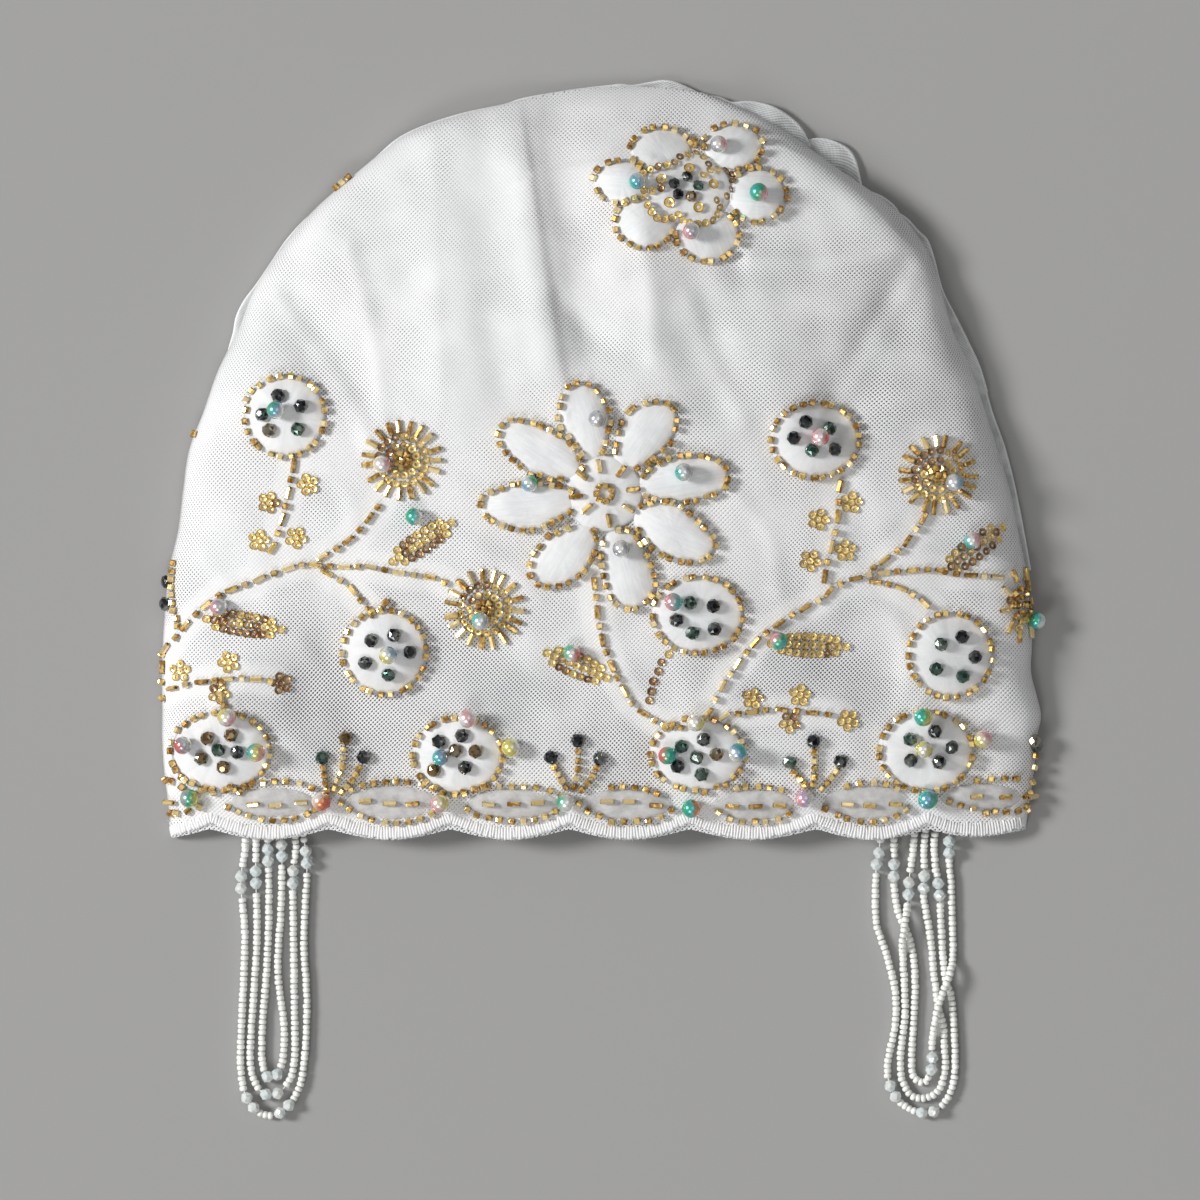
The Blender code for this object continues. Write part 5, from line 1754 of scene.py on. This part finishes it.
def set_sequin(batch, tree, x, y, lean, lean_turn, lift=0.3 * MM, size=None, tint=None):
    """Lay one sequin, leaning up by an angle away from a direction."""
    middle, normal = seat(tree, x, y, lift)
    lean = lean + batch.chance.uniform(-0.14, 0.14)
    turn = lean_turn + batch.chance.uniform(-0.5, 0.5)
    axis = normal + math.tan(lean) * np.array([math.cos(turn), math.sin(turn), 0.0])
    radius = (size or sizes().sequin) / 2 * batch.chance.uniform(0.95, 1.05)
    batch.set(middle, axis, (1.0, 0.0, 0.1), (radius, radius, radius), tint=tint)


def sequin_batch(seed):
    cup = turned(sequin_profile(), 14)
    radius = np.hypot(cup[0][:, 0], cup[0][:, 1])
    # The rim and the hole are marked for painted shade.
    edge = np.where((radius > 0.9) | (radius < 0.38), 1.0, 0.0)
    return Batch(cup, random.Random(seed), edge)


def ring_place(u, v, reach, turn, narrow=1.0):
    """Place at a reach in steps from u, v, on a ring that may be narrower across."""
    return (to_x(u) + reach * STEP * narrow * math.cos(turn),
            to_y(v) + reach * STEP * math.sin(turn))


class TURBAN_OT_sunbursts(bpy.types.Operator):
    """Sew the sunbursts: rays of tube beads round rings of sequins"""
    bl_idname = "turban.sunbursts"
    bl_label = "Sunbursts"

    def execute(self, context):
        tree = sewn_ground()
        sequins, mound = sequin_batch(21), bead_batch(22)
        for number, (name, u, v, radius, narrow) in enumerate(SUNBURSTS):
            rays = tube_batch(30 + number)
            whole = narrow == 1.0
            for k in range(RAY_COUNT):
                turn = 2 * math.pi * (k + rays.chance.uniform(-0.15, 0.15)) / RAY_COUNT
                if whole or k % 2 == 0:
                    ahead = math.atan2(math.sin(turn), narrow * math.cos(turn))
                    place = ring_place(u, v, radius - RAY_INSET, turn, narrow)
                    set_tube(rays, tree, *place, ahead)
            rays.make("rays_" + name, "gold", name)
            for ring, count, lean, lift in SEQUIN_RINGS:
                for k in range(0, count, 1 if whole else 4):
                    turn = 2 * math.pi * (k + 0.5 * (ring < 20)) / count
                    # Painted shade: the sequins of each ring are painted darker towards its upper
                    # left.
                    shade = 0.5 - 0.5 * math.cos(turn - math.radians(-45))
                    tint = min(max(shade + sequins.chance.uniform(-0.25, 0.25), 0), 1)
                    set_sequin(sequins, tree, *ring_place(u, v, ring, turn, narrow), lean, turn,
                               lift * MM, tint=tint)
            size = sizes().bead
            for ring, count in MOUND_RINGS if whole else SIDE_MOUND_RINGS:
                for k in range(count):
                    turn = 2 * math.pi * k / count
                    x, y = ring_place(u, v, ring, turn, narrow)
                    z, normal = rest(tree, x, y)
                    mound.set((x, y, z + 1.6 * MM + 0.3 * size),
                              (math.sin(turn), math.cos(turn), 0.4), normal,
                              (size / 2, size / 2, size), tint=mound.chance.uniform(0.3, 0.9))
        sequins.make("sunburst_sequins", "sequin")
        mound.make("sunburst_beads", "gold")
        return {"FINISHED"}


class TURBAN_OT_sequins(bpy.types.Operator):
    """Sew the sequin leaves, the small sequin flowers and the ring in the rose"""
    bl_idname = "turban.sequins"
    bl_label = "Sequins"

    def execute(self, context):
        tree = sewn_ground()
        for number, (name, u1, v1, u2, v2, half_width, shade) in enumerate(LEAVES):
            leaf = sequin_batch(40 + number)
            start, end = place_rows([(u1, v1), (u2, v2)])
            ahead = unit(end - start)
            aside = np.array([-ahead[1], ahead[0]])
            long = np.linalg.norm(end - start)
            turn = math.atan2(ahead[1], ahead[0])
            for row, offset in enumerate(LEAF_ROWS):
                reach = math.sqrt(max(1 - (offset * 0.85) ** 2, 0.1)) * long / 2
                count = int(2 * reach / (2.25 * MM))
                for k in range(count):
                    along = (k + 0.5) / count * 2 - 1
                    bow = 1 - 0.35 * along * along
                    place = (start + end) / 2 + ahead * along * reach
                    place = place + aside * offset * half_width * STEP * 0.86 * bow
                    lift = (0.35 + 0.35 * (row % 2) + 0.12 * (k % 2)) * MM
                    # Painted dark reflection: the row on one side is painted darker, and the leaf's
                    # shade darkens all but the end sequins.
                    dark = leaf.chance.uniform(*((0.5, 1.0) if offset < 0 else (0, 0.8)))
                    tint = 0.05 if abs(along) > 0.84 else min(dark + shade, 1.0)
                    set_sequin(leaf, tree, place[0], place[1], 0.16, turn, lift, tint=tint)
            leaf.make("sequins_" + name, "sequin", name)
        small = sequin_batch(50)
        for u, v, shade in MINI_FLOWERS:
            first = small.chance.uniform(0, 6.3)
            for k in range(5):
                turn = first + 2 * math.pi * k / 5
                tint = min(max(shade + small.chance.uniform(-0.15, 0.25), 0.0), 1.0)
                set_sequin(small, tree, *ring_place(u, v, MINI_REACH, turn), -0.12, turn,
                           (0.35 + 0.1 * (k % 2)) * MM, tint=tint)
            set_sequin(small, tree, to_x(u), to_y(v), 0.0, 0.0, 0.75 * MM, 2.0 * MM, tint=shade)
        for u, v, tint in SEQUIN_LINE:
            set_sequin(small, tree, to_x(u), to_y(v), 0.05, 0.0, tint=tint)
        small.make("small_sequin_flowers", "sequin")
        rose = sequin_batch(51)
        # Painted dark reflection: the tints paint some of the rose's sequins dark.
        for wave in ROSE_WAVES:
            route = smooth_route(wave)
            count = int(route_length(route) / (2.2 * MM)) + 1
            places, _ = along_route(route, np.linspace(0, route_length(route), count))
            for x, y in places:
                turn = math.atan2(y - to_y(ROSE_CENTRE[1]), x - to_x(ROSE_CENTRE[0]))
                set_sequin(rose, tree, x, y, 0.45, turn, 0.7 * MM, 2.3 * MM,
                           tint=rose.chance.choice((0.05, 0.2, 0.4, 0.7, 0.95)))
        for u, v in LARGE_SEQUINS:
            turn = math.atan2(LARGE_MIDDLE[1] - v, u - LARGE_MIDDLE[0])
            set_sequin(rose, tree, to_x(u), to_y(v), 0.3, turn, 0.8 * MM, 3.2 * MM, tint=0.62)
        rose.make("rose_sequins", "sequin")
        return {"FINISHED"}


class TURBAN_OT_crystals(bpy.types.Operator):
    """Sew on the dark cut crystals"""
    bl_idname = "turban.crystals"
    bl_label = "Crystals"

    def execute(self, context):
        tree = sewn_ground()
        stones = Batch(faceted(DARK_CUT, 6), random.Random(61))
        rows = [(u, v, hue, sizes().crystal) for u, v, hue in DARK_CRYSTALS]
        rows += [(u, v, hue, ROSE_CRYSTAL) for u, v, hue in ROSE_CRYSTALS]
        for u, v, hue, size in rows:
            radius = size / 2
            middle, normal = seat(tree, to_x(u), to_y(v), radius * 0.5)
            lean = stones.chance.uniform(-0.35, 0.35), stones.chance.uniform(-0.35, 0.35)
            axis = normal + np.array([lean[0], lean[1], 0.0])
            tint = (0.0, 0.5, 1.0)[hue] + stones.chance.uniform(-0.12, 0.12)
            stones.set(middle, axis, (1.0, 0.2, 0.0), (radius, radius, radius), tint=tint,
                       spin=stones.chance.uniform(0, 1))
        stones.make("dark_crystals", "dark_crystal")
        return {"FINISHED"}


class TURBAN_OT_pearls(bpy.types.Operator):
    """Sew on the pearls, each with its own run of lustre"""
    bl_idname = "turban.pearls"
    bl_label = "Pearls"

    def execute(self, context):
        tree = sewn_ground()
        ball = turned(round_profile(19, 0.17), 36)
        for number, (node, u, v, radius, tones) in enumerate(PEARLS):
            chance = random.Random(70 + number)
            if node:
                low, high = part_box(node)
                centre = (np.array(low) + np.array(high)) / 2
            else:
                lift = SUNBURST_LIFT if number in SUNBURST_PEARLS else PEARL_LIFT
                centre, _ = seat(tree, to_x(u), to_y(v), (radius + lift) * MM)
            tilt = chance.uniform(0.9, 1.4)
            spin = chance.uniform(0, 6.3)
            axis = np.array([math.sin(tilt) * math.cos(spin), math.sin(tilt) * math.sin(spin),
                             math.cos(tilt)])
            one = Batch(ball, chance)
            one.set(centre, axis, (0.1, 0.0, 1.0), (radius * MM,) * 3)
            piece = one.make(f"iris_pearl_{number + 1:02d}", "pearl", *([node] if node else []),
                             smooth=True)
            points = np.array([vertex.co for vertex in piece.data.vertices])
            away = (points - centre) / (radius * MM)
            turn = chance.uniform(-0.7, 0.7)
            run = away[:, 0] * math.cos(turn) + away[:, 1] * math.sin(turn)
            run = run + 0.12 * np.sin(away[:, 1] * 5 + number)
            # The tones run across the pearl: its own colours, with painted sheen and highlights.
            row = np.array([PEARL_TONES[tone] for tone in tones.split()])
            place = smoothstep(-0.95, 1.0, run) * 2
            shades = np.stack([np.interp(place, (0, 1, 2), row[:, k]) for k in range(3)], 1)
            store(piece.data, "lustre", np.column_stack([shades, np.ones(len(shades))]),
                  "FLOAT_COLOR")
        return {"FINISHED"}


def string_route(name, rows):
    """Middle of a string in space, and the distance along it of each pair of crystals."""
    flat = smooth_route([row if len(row) == 3 else row + (0,) for row in rows])
    lengths = run_lengths(flat[:, :2])
    crystals = []
    swell = np.ones(len(flat))
    for u, v in STRING_CRYSTALS[name]:
        at = lengths[np.argmin(np.hypot(flat[:, 0] - to_x(u), flat[:, 1] - to_y(v)))]
        crystals.append(at)
        swell += SWELL * (1 - smoothstep(*SWELL_REACH, np.abs(lengths - at)))
    past_edge = smoothstep(-HEM_SLOPE, HEM_SLOPE, flat[:, 1] - to_y(HEM_STEP_V))
    over_hem = (BORDER_WALL + HEM_GAP) * past_edge
    swell = np.minimum(swell, 1 + SWELL)
    height = FLOOR_CLEAR + over_hem + flat[:, 2] + swell * sizes().seed_bead / 2
    return np.column_stack([flat[:, 0], flat[:, 1], height]), crystals


class TURBAN_OT_strings(bpy.types.Operator):
    """Thread the strings of white beads and clear crystals"""
    bl_idname = "turban.strings"
    bl_label = "Strings"

    def execute(self, context):
        threads, thread_faces = [], []
        clear = Batch(faceted(CLEAR_CUT, 6), random.Random(81))
        pitch, size, wide_clear = sizes().seed_pitch, sizes().seed_bead, sizes().clear_crystal / 2
        for number, (name, rows) in enumerate(STRINGS):
            route, crystals = string_route(name, rows)
            beads = Batch(turned(SEED_SECTION, 12), random.Random(90 + number))
            total = route_length(route)
            scale = total / route_length(route[:, :2])
            stops = [at * scale for at in crystals]
            places = np.arange(0.4 * pitch, total, pitch)
            places = np.array([at for at in places
                               if min(abs(at - stop) for stop in stops) > PAIR_CLEAR])
            points, directions = along_route(route, places)
            for point, direction in zip(points, directions):
                wide = size * beads.chance.uniform(0.90, 1.02) / 2
                long = pitch * beads.chance.uniform(0.94, 1.04)
                sway = np.array([beads.chance.uniform(-1, 1) for _ in range(3)]) * BEAD_SWAY
                beads.set(point + sway, unit(direction) + sway / MM, (0.0, 0.0, 1.0),
                          (wide, wide, long))
            beads.make("beads_" + name, "seed_bead", name, smooth=True)
            at_crystals = np.array([stop + shift for stop in stops
                                    for shift in (-PAIR_SHIFT, PAIR_SHIFT)])
            points, directions = along_route(route, at_crystals)
            for point, direction in zip(points, directions):
                clear.set(point, direction, (0.0, 0.0, 1.0), (wide_clear, wide_clear, CLEAR_LENGTH),
                          spin=clear.chance.uniform(0, 1))
            count = int(total / THREAD_STEP)
            points, directions = along_route(route, np.linspace(0, total, count))
            side = unit(np.cross(directions, (0.0, 0.0, 1.0)))
            start = len(threads)
            for point, aside in zip(points, side):
                for k in range(THREAD_SIDES):
                    angle = 2 * math.pi * k / THREAD_SIDES
                    threads.append(point + aside * THREAD_RADIUS * math.cos(angle)
                                   + np.array([0, 0, THREAD_RADIUS * math.sin(angle)]))
            thread_faces += grid_faces(count, THREAD_SIDES, closed=True, start=start)
        clear.make("clear_crystals", "clear_crystal")
        finish_piece(new_mesh("string_threads", threads, thread_faces), "thread")
        return {"FINISHED"}


def add_light(name, place, size, power):
    """A round lamp that points at the middle of the floor."""
    lamp = bpy.data.lights.new(name, "AREA")
    lamp.shape = "DISK"
    lamp.size = size
    lamp.energy = power
    light = bpy.data.objects.new(name, lamp)
    light.location = place
    light.rotation_euler = (-Vector(place)).to_track_quat("-Z", "Y").to_euler()
    bpy.context.scene.collection.objects.link(light)


class TURBAN_OT_stage(bpy.types.Operator):
    """Set the plain floor, the soft lights and the camera above them"""
    bl_idname = "turban.stage"
    bl_label = "Stage"

    def execute(self, context):
        corners = [(x * FLOOR_HALF, y * FLOOR_HALF, 0)
                   for x, y in ((-1, -1), (1, -1), (1, 1), (-1, 1))]
        floor = new_mesh("floor", corners, [(0, 1, 2, 3)], smooth=False)
        floor.data.materials.append(floor_material())
        for light in LIGHTS:
            add_light(*light)
        room = Recipe("soft_room", bpy.data.worlds.new("soft_room"))
        around = room.node("ShaderNodeTexCoord")["Generated"]
        patches = room.noise(2.4, around, detail=1.0).step(0.42, 0.58)
        glow = room.node("ShaderNodeBackground", {}, {
            "Color": room.mix(patches, (0.06, 0.06, 0.06), (1.25, 1.25, 1.25)), "Strength": 0.345})
        room.node("ShaderNodeOutputWorld", {}, {"Surface": glow["Background"]})
        context.scene.world = room.made
        context.scene.view_settings.view_transform = "Standard"
        lens = bpy.data.cameras.new("camera")
        lens.sensor_width = SENSOR_WIDTH
        lens.lens = SENSOR_WIDTH * CAMERA_HEIGHT / (PHOTO_SIZE * STEP)
        lens.clip_start = 0.1
        lens.clip_end = 20.0
        camera = bpy.data.objects.new("camera", lens)
        camera.location = (to_x(PHOTO_SIZE / 2), to_y(PHOTO_SIZE / 2), CAMERA_HEIGHT)
        context.scene.collection.objects.link(camera)
        context.scene.camera = camera
        return {"FINISHED"}


PIECE_OPERATORS = (
    TURBAN_OT_net, TURBAN_OT_hem, TURBAN_OT_pads, TURBAN_OT_gold_lines, TURBAN_OT_sunbursts,
    TURBAN_OT_sequins, TURBAN_OT_crystals, TURBAN_OT_pearls, TURBAN_OT_strings, TURBAN_OT_stage,
)


class TURBAN_PT_panel(bpy.types.Panel):
    """Lists what builds the turban and the settings it reads"""
    bl_idname = "TURBAN_PT_panel"
    bl_label = "Beaded Turban"
    bl_space_type = "VIEW_3D"
    bl_region_type = "UI"
    bl_category = "Turban"

    def draw(self, context):
        layout = self.layout
        for settings in (context.scene.turban_sizes, context.scene.turban_colours):
            column = layout.column()
            for name in settings.__annotations__:
                column.prop(settings, name)
        for operator in PIECE_OPERATORS:
            layout.operator(operator.bl_idname)


CLASSES = (TurbanSizes, TurbanColours) + PIECE_OPERATORS + (TURBAN_PT_panel,)


def register():
    for each in CLASSES:
        bpy.utils.register_class(each)
    bpy.types.Scene.turban_sizes = PointerProperty(type=TurbanSizes)
    bpy.types.Scene.turban_colours = PointerProperty(type=TurbanColours)


def unregister():
    del bpy.types.Scene.turban_colours
    del bpy.types.Scene.turban_sizes
    for each in reversed(CLASSES):
        bpy.utils.unregister_class(each)


def main():
    register()
    bpy.ops.turban.stage()
    bpy.ops.turban.net()
    bpy.ops.turban.hem()
    bpy.ops.turban.pads()
    bpy.ops.turban.gold_lines()
    bpy.ops.turban.sunbursts()
    bpy.ops.turban.sequins()
    bpy.ops.turban.crystals()
    bpy.ops.turban.pearls()
    bpy.ops.turban.strings()


if __name__ == "__main__":
    main()
